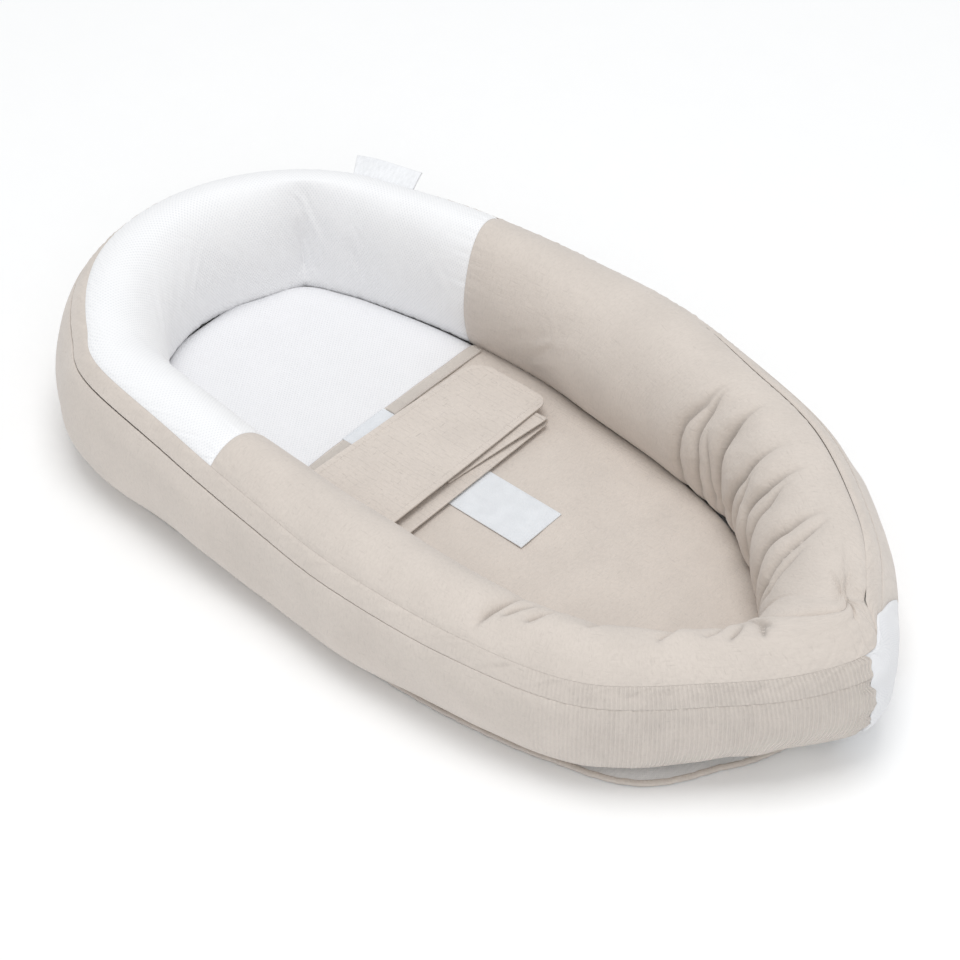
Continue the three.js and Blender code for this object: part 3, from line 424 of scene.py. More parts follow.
def creased(at, degrees, stretch, lines, depth, shares, steep=0.0032, gentle=0.012, sharp=0.3):
    """Valleys along the lines, steeper on one side, with a narrow fold at the bottom. They fade at
    their ends. It also gives how near each point is to the bottom of a fold, as the mask of painted
    shade that darkens the cloth there."""
    height, bottom = np.zeros_like(at), np.zeros_like(at)
    for number, line in enumerate(lines):
        places, turns = zip(*sorted(line, key=lambda point: point[1]))
        centre = np.interp(degrees, turns, places)
        if turns[-1] < CREST_TURN:
            slope = (places[-1] - places[-2]) / (turns[-1] - turns[-2])
            centre = centre + slope * np.clip(degrees - turns[-1], 0, RUNS_ON)
        away = (at - centre) * stretch
        length = turns[-1] - turns[0]
        fade = share(degrees, turns[0] - 0.2 * length, turns[0] + 0.45 * length)
        if turns[-1] < INNER_TURN:
            gone = turns[-1] + max(LEAST_FADE, length)
            fade = fade * (1 - share(degrees, turns[-1] - 0.2 * length, gone))
        else:
            fade = fade * (1 - 0.65 * share(degrees, FADE_FROM, CONTACT_ANGLE))
        own = depth * shares[number]
        width = np.where(away > 0, steep, gentle)
        fold = bell(away, CREASE_LINE) * fade
        off = np.hypot(away, CREASE_ROUND) - CREASE_ROUND
        height -= own * fade * (np.exp(-off / width) + sharp * fold)
        bottom = np.maximum(bottom, fold * min(own / depth, 1))
    return height, bottom


def pinched(points, stretch, degrees, at):
    """Dent where the ring's two ends are sewn together, with puckers that run out of it."""
    middle = ring_point(*FOOT_PINCH)
    away = np.linalg.norm(points - middle, axis=-1)
    turn = np.arctan2((degrees - FOOT_PINCH[1]) * METRES_PER_DEGREE, (at - FOOT_PINCH[0]) * stretch)
    rays = np.abs(np.cos(4 * turn + 0.5)) + 0.6 * np.abs(np.cos(6.5 * turn + 1.1)) - 1
    dent, knot, puckers = (height * bell(away, reach) for height, reach in (DENT, KNOT, PUCKERS))
    return knot - dent + puckers * rays * share(away, PUCKERS_FROM, PUCKERS_FULL)


def side_places(at):
    """Places that run on past the foot tip: first for the far side, then for the near one."""
    return np.where(at > 20, at - POINTS, at), np.where(at < 6, at + POINTS, at)


def plain_form(at, degrees, points):
    """Height of the stuffed cover above the plain ring, without its folds."""
    far, near = side_places(at)
    across = np.sin(np.pi * np.clip((degrees - SEAM_ANGLE) / (CONTACT_ANGLE - SEAM_ANGLE), 0, 1))
    height = sum(most * across * swell(place, *ends)
                 for place, (most, *ends) in ((far, FAR_SWELL), (near, NEAR_SWELL)))
    height += WIDE_LUMPS[0] * lumps(points, WIDE_LUMPS[1], 3) * across
    loose = swell(far, *FAR_LOOSE) + swell(near, *NEAR_LOOSE) * share(degrees, 60, 110)
    small = SMALL_LUMPS[0] * lumps(points * [1, 1, 0.5], SMALL_LUMPS[1], 5)
    return height + small * across * np.clip(loose, LEAST_LOOSE, 1)


def folds(at, degrees, points, covers):
    """Height of the folds that are pressed into the stuffed cover, and where their bottoms are, as
    the mask of painted shade in the folds.
    """
    ends = ring_point(at + 0.05, degrees) - ring_point(at - 0.05, degrees)
    stretch = np.linalg.norm(ends, axis=-1) / 0.1
    far, near = side_places(at)
    parts = [creased(far, degrees, stretch, FAR_CREASES, covers.crease_depth, FAR_CREASE_SHARES),
             creased(near, degrees, stretch, NEAR_TUCKS, covers.tuck_depth, NEAR_TUCK_SHARES,
                     steep=0.0022, gentle=0.007),
             creased(at, degrees, stretch, HEAD_NOTCH, NOTCH_DEPTH, (0.8,),
                     steep=0.007, gentle=0.009, sharp=0.1)]
    height = sum(part[0] for part in parts)
    bottom = np.maximum(parts[0][1], 0.9 * parts[1][1])
    from_seam = (far - foot_seam(degrees)) * stretch
    step = np.exp(-np.abs(from_seam) / np.where(from_seam > 0, STEP_FAR, STEP_NEAR))
    height -= FOOT_STEP * step * share(degrees, 86, 100)
    bottom = np.maximum(bottom, 0.5 * bell(from_seam, CREASE_ROUND) * share(degrees, 78, 90))
    return height + pinched(points, stretch, degrees, far), bottom


# Cloth simulation: its grid, its frames, the most that a point may move, and the fabric
DRIFT_ROWS, DRIFT_COLUMNS = 520, 66
DRIFT_FRAMES, DRIFT_MOST = 24, 0.003
FABRIC = {
    "quality": 5, "mass": 0.2, "tension_stiffness": 20, "compression_stiffness": 12,
    "shear_stiffness": 8, "bending_stiffness": 0.12, "tension_damping": 15,
    "compression_damping": 15, "air_damping": 5, "use_pressure": True,
    "uniform_pressure_force": 1.5, "vertex_group_mass": "held", "pin_stiffness": 1,
    "vertex_group_shrink": "loose", "shrink_min": 0,
}
drift = {"field": None}


def stuff_bolster(covers):
    """Cloth simulation of the whole bolster cover: it is held at its seams and pressed out by the
    filling, and its loose parts are cut larger, so it puckers. It keeps how far each point moved."""
    at = np.linspace(0, POINTS, DRIFT_ROWS + 1)[:-1][:, None]
    across = np.linspace(0, 1, DRIFT_COLUMNS + 1)[None, :]
    degrees = SEAM_ANGLE + (CONTACT_ANGLE - SEAM_ANGLE) * across
    at, degrees = np.broadcast_arrays(at, degrees)
    points = ring_point(at, degrees)
    points = ring_point(at, degrees, -plain_form(at, degrees, points))
    columns = DRIFT_COLUMNS + 1
    index = np.arange(DRIFT_ROWS * columns).reshape(DRIFT_ROWS, columns)
    after = np.roll(index, -1, axis=0)
    faces = np.stack([index[:, :-1], index[:, 1:], after[:, 1:], after[:, :-1]], -1).reshape(-1, 4)
    mesh = bpy.data.meshes.new("bolster_trial")
    mesh.from_pydata(points.reshape(-1, 3).tolist(), [], faces.tolist())
    middle = mesh.polygons[DRIFT_COLUMNS // 4 + DRIFT_COLUMNS * 40]
    if middle.normal.z < 0:
        mesh.flip_normals()
    trial = bpy.data.objects.new("bolster_trial", mesh)
    bpy.context.scene.collection.objects.link(trial)
    inside = np.sin(np.pi * np.broadcast_to(across, at.shape))
    held = np.clip(1 - 5 * inside, 0.02, 1).ravel()
    loose = swell(at, -0.4, 5) + swell(at, 21.2, 26.6) + 0.5 * swell(at, 9.2, 11)
    loose = (np.clip(loose, LEAST_LOOSE, 1) * share(degrees, 50, 110)).ravel()
    for name, weights in (("held", held), ("loose", loose)):
        group = trial.vertex_groups.new(name=name)
        steps = np.round(weights, 2)
        for weight in np.unique(steps):
            group.add(np.flatnonzero(steps == weight).tolist(), float(weight), "REPLACE")
    cloth = trial.modifiers.new("cloth", "CLOTH")
    for name, value in FABRIC.items():
        setattr(cloth.settings, name, value)
    cloth.settings.shrink_max = -covers.looseness
    cloth.settings.effector_weights.gravity = 0
    cloth.collision_settings.use_collision = False
    cloth.point_cache.frame_start = 1
    cloth.point_cache.frame_end = DRIFT_FRAMES
    scene = bpy.context.scene
    for number in range(1, DRIFT_FRAMES + 1):
        scene.frame_set(number)
    shaped = trial.evaluated_get(bpy.context.evaluated_depsgraph_get())
    moved = np.empty(len(mesh.vertices) * 3, np.float32)
    shaped.data.vertices.foreach_get("co", moved)
    scene.frame_set(1)
    step = moved.reshape(points.shape).astype(float) - points
    size = np.linalg.norm(step, axis=-1, keepdims=True)
    step *= DRIFT_MOST * np.tanh(size / DRIFT_MOST) / np.maximum(size, 1e-9)
    if not np.isfinite(step).all():
        raise RuntimeError("the cloth simulation of the bolster gave points that aren't finite")
    print("bolster cloth moved by", round(float(size.mean()) * 1000, 2), "mm on average and",
          round(float(size.max()) * 1000, 2), "mm at most")
    bpy.data.objects.remove(trial)
    tip = np.minimum(at, POINTS - at)[..., None]
    drift["field"] = step * inside[..., None] ** 0.5 * (0.3 + 0.7 * share(tip, 0.3, 1.4))


def drift_at(at, degrees):
    """How far the simulation moved the cover at each place."""
    field = drift["field"]
    if field is None:
        return 0.0
    row = (at % POINTS) / POINTS * DRIFT_ROWS
    column = (degrees - SEAM_ANGLE) / (CONTACT_ANGLE - SEAM_ANGLE) * DRIFT_COLUMNS
    column = np.clip(column, 0, DRIFT_COLUMNS)

    def taps(position):
        index = np.floor(position).astype(int)
        rest = position - index
        weights = [(-rest**3 + 2 * rest**2 - rest) / 2, (3 * rest**3 - 5 * rest**2 + 2) / 2,
                   (-3 * rest**3 + 4 * rest**2 + rest) / 2, (rest**3 - rest**2) / 2]
        return [(index + step, weight) for step, weight in zip((-1, 0, 1, 2), weights)]

    total = np.zeros(at.shape + (3,))
    for i, row_weight in taps(row):
        for j, column_weight in taps(column):
            value = field[i % DRIFT_ROWS, np.clip(j, 0, DRIFT_COLUMNS)]
            total += value * (row_weight * column_weight)[..., None]
    return total


def linear(code, factor=1.0):
    """sRGB hex as linear red, green, blue and alpha."""
    parts = [int(code.lstrip("#")[i:i + 2], 16) / 255 for i in (0, 2, 4)]
    parts = [c / 12.92 if c <= 0.04045 else ((c + 0.055) / 1.055) ** 2.4 for c in parts]
    return tuple(c * factor for c in parts) + (1,)


def node(tree, kind, settings=None, **links):
    """Adds a node. A link is a value or an output socket, and its name is the input's name or,
    after an underscore, its number."""
    made = tree.nodes.new(kind)
    for name, value in (settings or {}).items():
        setattr(made, name, value)
    for name, value in links.items():
        socket = made.inputs[int(name[1:])] if name[0] == "_" else made.inputs[name.replace("_", " ")]
        if isinstance(value, bpy.types.NodeSocket):
            tree.links.new(value, socket)
        else:
            socket.default_value = value
    return made


def math_node(tree, operation, *values):
    links = {f"_{i}": value for i, value in enumerate(values)}
    return node(tree, "ShaderNodeMath", {"operation": operation}, **links).outputs[0]


def times(tree, first, second):
    return math_node(tree, "MULTIPLY", first, second)


def mixed(tree, factor, low, high):
    return node(tree, "ShaderNodeMix", {"data_type": "RGBA"}, _0=factor, _6=low, _7=high).outputs[2]


def ranged(tree, value, low, high, to_low=0.0, to_high=1.0):
    return node(tree, "ShaderNodeMapRange", None, _0=value, _1=low, _2=high, _3=to_low,
                _4=to_high).outputs[0]


def wave(tree, parts, axis, length):
    """Sine along one axis of the parted coordinates."""
    return math_node(tree, "SINE", times(tree, parts.outputs[axis], 2 * math.pi / length))


def noise(tree, coordinates, sizes, detail=2.0, roughness=0.5, distortion=0.0):
    """Noise whose grains have the given sizes along two or three axes, in millimetres."""
    scale = tuple(1 / (size * MM) for size in sizes) + (1.0,) * (3 - len(sizes))
    vector = node(tree, "ShaderNodeMapping", None, Vector=coordinates, Scale=scale).outputs[0]
    return node(tree, "ShaderNodeTexNoise", None, Vector=vector, Scale=1.0, Detail=detail,
                Roughness=roughness, Distortion=distortion).outputs[0]


def painted(tree, label):
    """Value that the mesh carries at each point."""
    return node(tree, "ShaderNodeAttribute", {"attribute_name": label}).outputs[2]


def new_finish(name, source, roughness, sheen=0.0, metallic=0.0):
    """New material, with its nodes, its coordinates and the same parted into axes. The source is
    the flat cloth or the object itself."""
    finish = bpy.data.materials.new(name)
    finish.use_nodes = True
    tree = finish.node_tree
    shader = tree.nodes["Principled BSDF"]
    for label, value in (("Roughness", roughness), ("Metallic", metallic),
                         ("Sheen Weight", sheen), ("Sheen Roughness", 0.6)):
        shader.inputs[label].default_value = value
    if source == "cloth":
        place = node(tree, "ShaderNodeUVMap", {"uv_map": "cloth"}).outputs[0]
    else:
        place = node(tree, "ShaderNodeTexCoord").outputs["Object"]
    return finish, tree, place, node(tree, "ShaderNodeSeparateXYZ", None, Vector=place)


def surfaced(finish, base, height, strength, distance):
    """Gives a finish its colour, and bumps up to the distance high."""
    tree = finish.node_tree
    shader = tree.nodes["Principled BSDF"]
    bump = node(tree, "ShaderNodeBump", None, Strength=strength, Distance=distance, Height=height)
    tree.links.new(base, shader.inputs["Base Color"])
    tree.links.new(bump.outputs[0], shader.inputs["Normal"])
    return finish


def dashed(tree, across, flat, pitch):
    """Broken thin lines a pitch apart, in millimetres: threads of the weave that lie a little
    deeper."""
    broken = ranged(tree, noise(tree, flat, (pitch, 2.2 * pitch), 2, 0.6), 0.46, 0.56)
    bent = math_node(tree, "MULTIPLY_ADD", noise(tree, flat, (30, 30), 1), pitch * MM, across)
    lines = math_node(tree, "COSINE", times(tree, bent, 2 * math.pi / (pitch * MM)))
    return times(tree, ranged(tree, lines, 0.82, 0.97), broken)


def cotton_finish(name, code, slubs=0.5, crinkle=1.0, grid=0.0):
    """Crinkled cotton: a crepe weave that dries into short creases along the warp, with a few
    thicker threads. It is matt, and its fuzz brightens it at a grazing angle. Threads are about
    0.4 mm apart, too fine to show, so the crepe is drawn in grains of 1.8 by 4 mm. The ribs by the
    near foot are 3.3 mm apart. Along the bottoms of the folds the colour is darkened as painted
    shade."""
    finish, tree, flat, parts = new_finish(name, "cloth", 0.92, sheen=0.25)
    crepe = noise(tree, flat, (1.8, 4), 3, 0.6, distortion=0.6)
    threads = math_node(tree, "MINIMUM", noise(tree, flat, (11, 1.5)), noise(tree, flat, (1.5, 11)))
    wobble = ranged(tree, noise(tree, flat, (9, 30)), 0.3, 0.6, 0.55, 1)
    rib = times(tree, times(tree, wave(tree, parts, 0, 3.3 * MM), painted(tree, "ribbing")), wobble)
    slub = ranged(tree, threads, 0.27, 0.36, 1.0, 0.0)
    soft = ranged(tree, noise(tree, flat, (45, 45)), 0.35, 0.65)
    base = mixed(tree, soft, linear(code, 0.97), linear(code, 1.03))
    darker = [(ranged(tree, crepe, 0.3, 0.6, 0.14, 0.0), 0.55),
              (times(tree, slub, 0.4 * slubs), 0.55),
              (ranged(tree, rib, -0.9, 0.3, 0.16, 0), 0.5),
              # Painted shade: darker colour along the bottoms of the folds, which the mesh is too coarse
              # to shade
              (times(tree, painted(tree, "folded"), 0.6), 0.25)]
    if grid:
        darker.append((times(tree, dashed(tree, parts.outputs[0], flat, 4.6), grid), 0.5))
    for amount, factor in darker:
        base = mixed(tree, amount, base, linear(code, factor))
    height = math_node(tree, "MULTIPLY_ADD", crepe, 0.9 * crinkle, times(tree, threads, 0.8))
    height = math_node(tree, "MULTIPLY_ADD", rib, 1.1, height)
    return surfaced(finish, base, height, 0.55, 0.0009)


def mesh_finish(name, code):
    """Spacer mesh: polyester knitted in a waffle of small pits, 2.8 mm apart one way and 4.2 mm the
    other. It is matt and white, and the pits are a little darker and bluer."""
    finish, tree, flat, parts = new_finish(name, "cloth", 0.85, sheen=0.2)
    pits = times(tree, wave(tree, parts, 0, 2.8 * MM), wave(tree, parts, 1, 4.2 * MM))
    even = ranged(tree, noise(tree, flat, (30, 30)), 0.3, 0.6, 0.5, 1)
    depth = times(tree, ranged(tree, pits, 0.1, 0.8), even)
    base = mixed(tree, times(tree, depth, 0.25), linear(code), linear("#C6C9D2"))
    return surfaced(finish, base, math_node(tree, "SUBTRACT", 1.0, depth), 0.28, 0.0007)


def pile_finish(name, code):
    """Hook-and-loop tape: nylon loops, brushed up into a soft pile under 1 mm high. The pile
    scatters light, so it looks even, with a faint cloud where it was pressed."""
    finish, tree, place, _ = new_finish(name, "object", 0.8, sheen=0.45)
    loops = noise(tree, place, (0.9, 0.9, 0.9), 3, 0.7)
    cloud = ranged(tree, noise(tree, place, (14, 14, 14)), 0.35, 0.65)
    base = mixed(tree, cloud, linear(code, 0.96), linear(code, 1.02))
    base = mixed(tree, ranged(tree, loops, 0.3, 0.6, 0.12, 0), base, linear("#B8BECB"))
    return surfaced(finish, base, loops, 0.6, 0.0006)


def woven_finish(name, code, pitch=1.2, sheen=0.1, roughness=0.8):
    """Plain woven tape or sheet: warp and weft cross in a fine check, drawn wide enough to show,
    with slightly uneven threads. The pitch is in millimetres."""
    finish, tree, place, parts = new_finish(name, "object", roughness, sheen=sheen)
    check = times(tree, *(wave(tree, parts, axis, 2 * pitch * MM) for axis in (0, 1)))
    thread = noise(tree, place, (2, 9, 4), 3)
    base = mixed(tree, ranged(tree, thread, 0.3, 0.7), linear(code, 0.93), linear(code, 1.03))
    return surfaced(finish, base, math_node(tree, "ADD", thread, check), 0.3, 0.0003)


def grain_finish(name, code, size, depth, roughness, metallic=0.0, dark=0.8, sheen=0.0):
    """Even grain of one size and depth, in millimetres: the cells of foam, the tangle of fibre, or
    the fine pits of cast zinc and moulded nylon."""
    finish, tree, place, _ = new_finish(name, "object", roughness, sheen, metallic)
    cells = noise(tree, place, (size, size, size), 3, 0.6)
    cloud = ranged(tree, noise(tree, place, (30, 30, 30), 1), 0.3, 0.7, 0.1, 0)
    base = mixed(tree, ranged(tree, cells, 0.3, 0.65), linear(code, dark), linear(code))
    base = mixed(tree, cloud, base, linear(code, dark))
    rough = ranged(tree, cells, 0.3, 0.7, max(roughness - 0.08, 0), min(roughness + 0.08, 1))
    tree.links.new(rough, tree.nodes["Principled BSDF"].inputs["Roughness"])
    return surfaced(finish, base, cells, 0.5, depth * MM)


THREAD = {"pitch": 0.6, "sheen": 0.2, "roughness": 0.6}
# What makes each finish, its colour as a code or as one of the colours in the sidebar, and the rest
FINISHES = {
    "crinkled cotton": (cotton_finish, "cotton", {}),
    "slub cotton": (cotton_finish, "cotton", {"slubs": 1.0, "crinkle": 0.5, "grid": 0.2}),
    "pressed cotton": (cotton_finish, "#CFC7BF", {"slubs": 0.3, "crinkle": 0.4}),
    # The spacer mesh comes in two copies that differ only by painted light and shade: the head's is set
    # lighter, and the mattress top's and the foot piece's are greyer, as painted shade
    "waffle spacer mesh": (mesh_finish, "mesh", {}),
    "worn spacer mesh": (mesh_finish, "#EEEEF0", {}),
    "hook and loop pile": (pile_finish, "tape", {}),
    "woven base sheet": (woven_finish, "#F8F8F8", {"sheen": 0.15}),
    "woven zip tape": (woven_finish, "zip", {}),
    "woven label ribbon": (woven_finish, "#F2F3F5", {"pitch": 0.9, "sheen": 0.3, "roughness": 0.6}),
    "sewing thread": (woven_finish, "#DDD4CC", THREAD),
    "white thread": (woven_finish, "tape", THREAD),
    "brushed polyester fibre": (grain_finish, "#F4F2EE", {
        "size": 2.5, "depth": 1.2, "roughness": 0.95, "dark": 0.86, "sheen": 0.3}),
    "open cell foam": (grain_finish, "#EFE9D8", {
        "size": 0.9, "depth": 0.5, "roughness": 0.95, "dark": 0.82}),
    "moulded nylon coil": (grain_finish, "#8F8880", {
        "size": 0.6, "depth": 0.05, "roughness": 0.42, "dark": 0.9}),
    "lacquered cast zinc": (grain_finish, "#8F8A84", {
        "size": 0.5, "depth": 0.04, "roughness": 0.34, "metallic": 1.0, "dark": 0.88}),
    "studio floor": (grain_finish, "floor", {
        "size": 40, "depth": 0.01, "roughness": 0.95, "dark": 0.995}),
}


def finish_of(name):
    """The named finish, made when it is first asked for."""
    ready = bpy.data.materials.get(name)
    if ready:
        return ready
    maker, colour, settings = FINISHES[name]
    if not colour.startswith("#"):
        colour = getattr(bpy.context.scene.lounger_colours, colour)
    return maker(name, colour, **settings)


def mesh_piece(name, points, faces, finish, cloth=None, attributes=None):
    """Object at the origin from points and faces. Its faces are turned to point outwards."""
    points = np.asarray(points, float).reshape(-1, 3)
    volume = 0.0
    for size in (3, 4):
        flat = np.array([face for face in faces if len(face) == size], int).reshape(-1, size)
        for second in range(1, size - 1):
            a, b, c = (points[flat[:, k]] for k in (0, second, second + 1))
            volume += float((a * np.cross(b, c)).sum())
    if volume < 0:
        faces = [tuple(reversed(face)) for face in faces]
    mesh = bpy.data.meshes.new(name)
    mesh.from_pydata(points.tolist(), [], faces)
    mesh.polygons.foreach_set("use_smooth", [True] * len(mesh.polygons))
    if cloth is not None:
        layer = mesh.uv_layers.new(name="cloth")
        corner = np.empty(len(mesh.loops), int)
        mesh.loops.foreach_get("vertex_index", corner)
        layer.data.foreach_set("uv", np.asarray(cloth, np.float32).reshape(-1, 2)[corner].ravel())
    for label, values in (attributes or {}).items():
        values = np.broadcast_to(np.asarray(values, np.float32).ravel(), len(points))
        mesh.attributes.new(label, "FLOAT", "POINT").data.foreach_set("value", values.copy())
    mesh.materials.append(finish_of(finish))
    mesh.update()
    piece = bpy.data.objects.new(name, mesh)
    bpy.context.scene.collection.objects.link(piece)
    return piece


def place_piece(piece, body, slot, *nodes):
    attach(piece, body)
    if nodes:
        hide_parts(*nodes)
    return piece


def eased(count, ends=0.6):
    """Shares from 0 to 1 that lie closer together at both ends."""
    step = np.linspace(0, 1, count + 1)
    return step - ends * np.sin(2 * np.pi * step) / (2 * np.pi)


def spaced(rows, ends, first, last, dense):
    """Shares of the way from the first place to the last, closer together between two dense ones,
    up to a number of times."""
    fine = first + (last - first) * eased(4000, ends)
    start, end, most = dense
    between = share(fine, start - 0.3, start) * (1 - share(fine, end, end + 0.3))
    weight = 1 + (most - 1) * between
    total = np.r_[0, np.cumsum((weight[1:] + weight[:-1]) / 2)]
    spots = np.interp(np.linspace(0, total[-1], rows + 1), total, fine)
    return (spots - first) / (last - first)


def running_length(points, axis):
    steps = np.linalg.norm(np.diff(points, axis=axis), axis=-1)
    start = np.zeros_like(np.take(steps, [0], axis=axis))
    return np.concatenate([start, np.cumsum(steps, axis=axis)], axis=axis)


def edge_value(edge, other):
    return edge(other) if callable(edge) else np.full_like(other, edge)


def quad_rows(rows, width, closed=False):
    """Quads between rows of points that close on themselves. The rows can close too."""
    row = np.arange(rows if closed else rows - 1)[:, None] * width
    after = (row + width) % (rows * width)
    j = np.arange(width)[None, :]
    k = (j + 1) % width
    quads = np.stack([row + j, row + k, after + k, after + j], -1).reshape(-1, 4)
    return [tuple(quad) for quad in quads.tolist()]


def with_caps(faces, cap, last):
    """Adds both end caps. The cap gives the faces of an end whose points start at a number."""
    return faces + cap(0) + [tuple(reversed(face)) for face in cap(last)]


def shell_faces(rows, outside, inside):
    """Faces of a shell: each row holds a run of outer points, then fewer inner ones coming back."""
    width = outside + inside
    step = (outside - 1) // (inside - 1)

    def cap(start):
        faces = []
        for i in range(inside - 1):
            first = start + width - 1 - i
            run = [start + i * step + s for s in range(step + 1)]
            faces += [(run[s + 1], run[s], first) for s in range(step)]
            faces.append((first, first - 1, run[-1]))
        return faces

    return with_caps(quad_rows(rows, width), cap, (rows - 1) * width)


def ring_shell(name, ends, sides, rows, columns, thick, finish, relief=None, top=0.0,
               roll=(1, 1, 1, 1), roll_depth=0.0, stuffed=False, marks=None, spread=0.6,
               inner_step=2, dense=(0, 0, 1), ease=1.6):
    """Closed fabric shell over part of the ring. The ends are its first and last place and the
    sides its lower and upper degrees. Each is a number or a function of the other coordinate. A
    slanting end straightens out over the eased places, or over the whole piece if that is 0."""
    first, last = (edge(90.0) if callable(edge) else edge for edge in ends)
    along = spaced(rows, spread, first, last, dense)[:, None]
    across = eased(columns, spread)[None, :]
    plain = first + (last - first) * along + 0 * across
    low, high = (edge_value(edge, plain) for edge in sides)
    degrees = low + (high - low) * across
    start, end = (edge_value(edge, degrees) for edge in ends)
    if ease:
        at = (plain + (start - first) * (1 - share(plain - first, 0, ease))
              + (end - last) * (1 - share(last - plain, 0, ease)))
    else:
        at = start + (end - start) * along
    plain_points = ring_point(at, degrees)
    run, rise = running_length(plain_points, 0), running_length(plain_points, 1)
    distances = (run, run[-1:] - run, rise, rise[:, -1:] - rise)
    turned_in = sum(weight * bell(distance, ROLL_WIDTH) for weight, distance in zip(roll, distances))
    turned_in = (roll_depth(at) if callable(roll_depth) else roll_depth) * np.minimum(turned_in, 1)
    height = relief(at, degrees, plain_points, distances) if relief else np.zeros_like(at)
    extra = drift_at(at, degrees) if stuffed else 0.0
    middle = run[:, columns // 2][:, None] + 0 * across

    def closed(outer, inner=None):
        """Runs across the outer layer, then back across the inner one."""
        inner = outer if inner is None else inner
        return np.concatenate([outer, inner[:, ::inner_step][:, ::-1]], 1)

    points = closed(ring_point(at, degrees, top + turned_in - height) + extra,
                    ring_point(at, degrees, top + thick - height) + extra)
    faces = shell_faces(rows + 1, columns + 1, columns // inner_step + 1)
    attributes = {label: closed(mark(at, degrees)) for label, mark in (marks or {}).items()}
    return mesh_piece(name, points, faces, finish, closed(np.stack([middle, rise], -1)), attributes)


def gathers(distances, height, roll=(1, 1, 1, 1)):
    """Small gathers that run away from the seams."""
    run, _, rise, _ = distances
    total = np.zeros_like(run)
    random = np.random.default_rng(GATHER_SEED)
    for number, (weight, distance) in enumerate(zip(roll, distances)):
        other = rise if number < 2 else run
        phase = sum(np.sin(2 * np.pi * other / (GATHER_SIZE * pitch) + random.uniform(0, 6.28))
                    for pitch in (0.7, 1.0, 1.43, 2.1))
        fade = np.exp(-distance / GATHER_REACH) * share(distance, 0, 0.003)
        total += weight * height * phase / 2 * fade
    return total


def rounded(inside, radius, least=0.0):
    """Share of the full height at a distance inside a rounded edge."""
    return np.sqrt(np.clip(1 - (1 - np.clip(inside / radius, 0, 1)) ** 2, least, 1))


def strap(name, path, edges, rows, columns, half, finish, lift=None, ply=0.0):
    """Sewn strap along a path in the (y, z) plane. The edges give its two x at each length. Its
    long sides are rounded and show the line between its two plies."""
    lengths = eased(rows, 0.5) * path(None)
    y, z, across_y, across_z = path(lengths)
    left, right = (edge[:, None] for edge in edges(lengths))
    x = left + (right - left) * eased(columns, 0.75)[None, :]
    near_edge = np.minimum(x - left, right - x)
    near_end = np.minimum(lengths, lengths[-1] - lengths)[:, None]
    rounding = rounded(np.minimum(near_edge, near_end + half * 0.25), half * 0.8, 0.09)
    seam = ply * bell(np.minimum(near_edge, near_end) - 0.0035, 0.0028)
    raised = (lift(lengths[:, None], x) if lift else 0.0) + 0 * x
    centre = np.stack([x, y[:, None] + 0 * x, z[:, None] + 0 * x], -1)
    normal = np.stack([0 * lengths, across_y, across_z], -1)[:, None, :]
    top, skin, bottom = (centre + normal * (raised + height)[..., None]
                         for height in (half * rounding + seam, 0, -half * rounding))
    groove = [0.3 * half, 0, 0]
    points = np.concatenate([top, skin[:, -1:] - groove, bottom[:, ::-1], skin[:, :1] + groove], 1)
    cloth_top = np.stack([lengths[:, None] + 0 * x, x], -1)
    cloth = np.concatenate([cloth_top, cloth_top[:, -1:], cloth_top[:, ::-1], cloth_top[:, :1]], 1)
    width, count = points.shape[1], columns + 1

    def cap(start):
        faces = [(start + i + 1, start + i, start + 2 * count - i, start + 2 * count - 1 - i)
                 for i in range(columns)]
        return faces + [(start, width - 1 + start, start + 2 * count),
                        (start + count, start + columns, start + count + 1)]

    faces = with_caps(quad_rows(rows + 1, width), cap, rows * width)
    return mesh_piece(name, points, faces, finish, cloth)


def straight(start, end):
    """Path of a strap from one (y, z) to another."""
    start, end = np.array(start, float), np.array(end, float)
    way = end - start
    length = float(np.hypot(*way))
    way = way / length

    def path(lengths):
        if lengths is None:
            return length
        spots = start + lengths[:, None] * way
        return spots[:, 0], spots[:, 1], np.full_like(lengths, -way[1]), np.full_like(lengths, way[0])

    return path


def through(points):
    """Path of a strap through (y, z) points, with its own running length."""
    points = np.array(points, float)
    run = np.r_[0, np.cumsum(np.hypot(*np.diff(points, axis=0).T))]

    def path(lengths):
        if lengths is None:
            return float(run[-1])
        y, z = (np.interp(lengths, run, points[:, i]) for i in (0, 1))
        step = 0.0004
        before, after = np.clip(lengths - step, 0, run[-1]), np.clip(lengths + step, 0, run[-1])
        way_y, way_z = (np.interp(after, run, points[:, i]) - np.interp(before, run, points[:, i])
                        for i in (0, 1))
        size = np.hypot(way_y, way_z)
        return y, z, -way_z / size, way_y / size

    return path


def crossings(outline, x):
    """Lowest and highest y at which an outline crosses each line across the lounger."""
    start, end = outline, np.roll(outline, -1, axis=0)
    low, high = np.full(len(x), np.inf), np.full(len(x), -np.inf)
    for (x0, y0), (x1, y1) in zip(start, end):
        if x0 == x1:
            continue
        inside = (x - x0) * (x - x1) <= 0
        y = y0 + (y1 - y0) * (x - x0) / (x1 - x0)
        low = np.where(inside, np.minimum(low, y), low)
        high = np.where(inside, np.maximum(high, y), high)
    return low, high


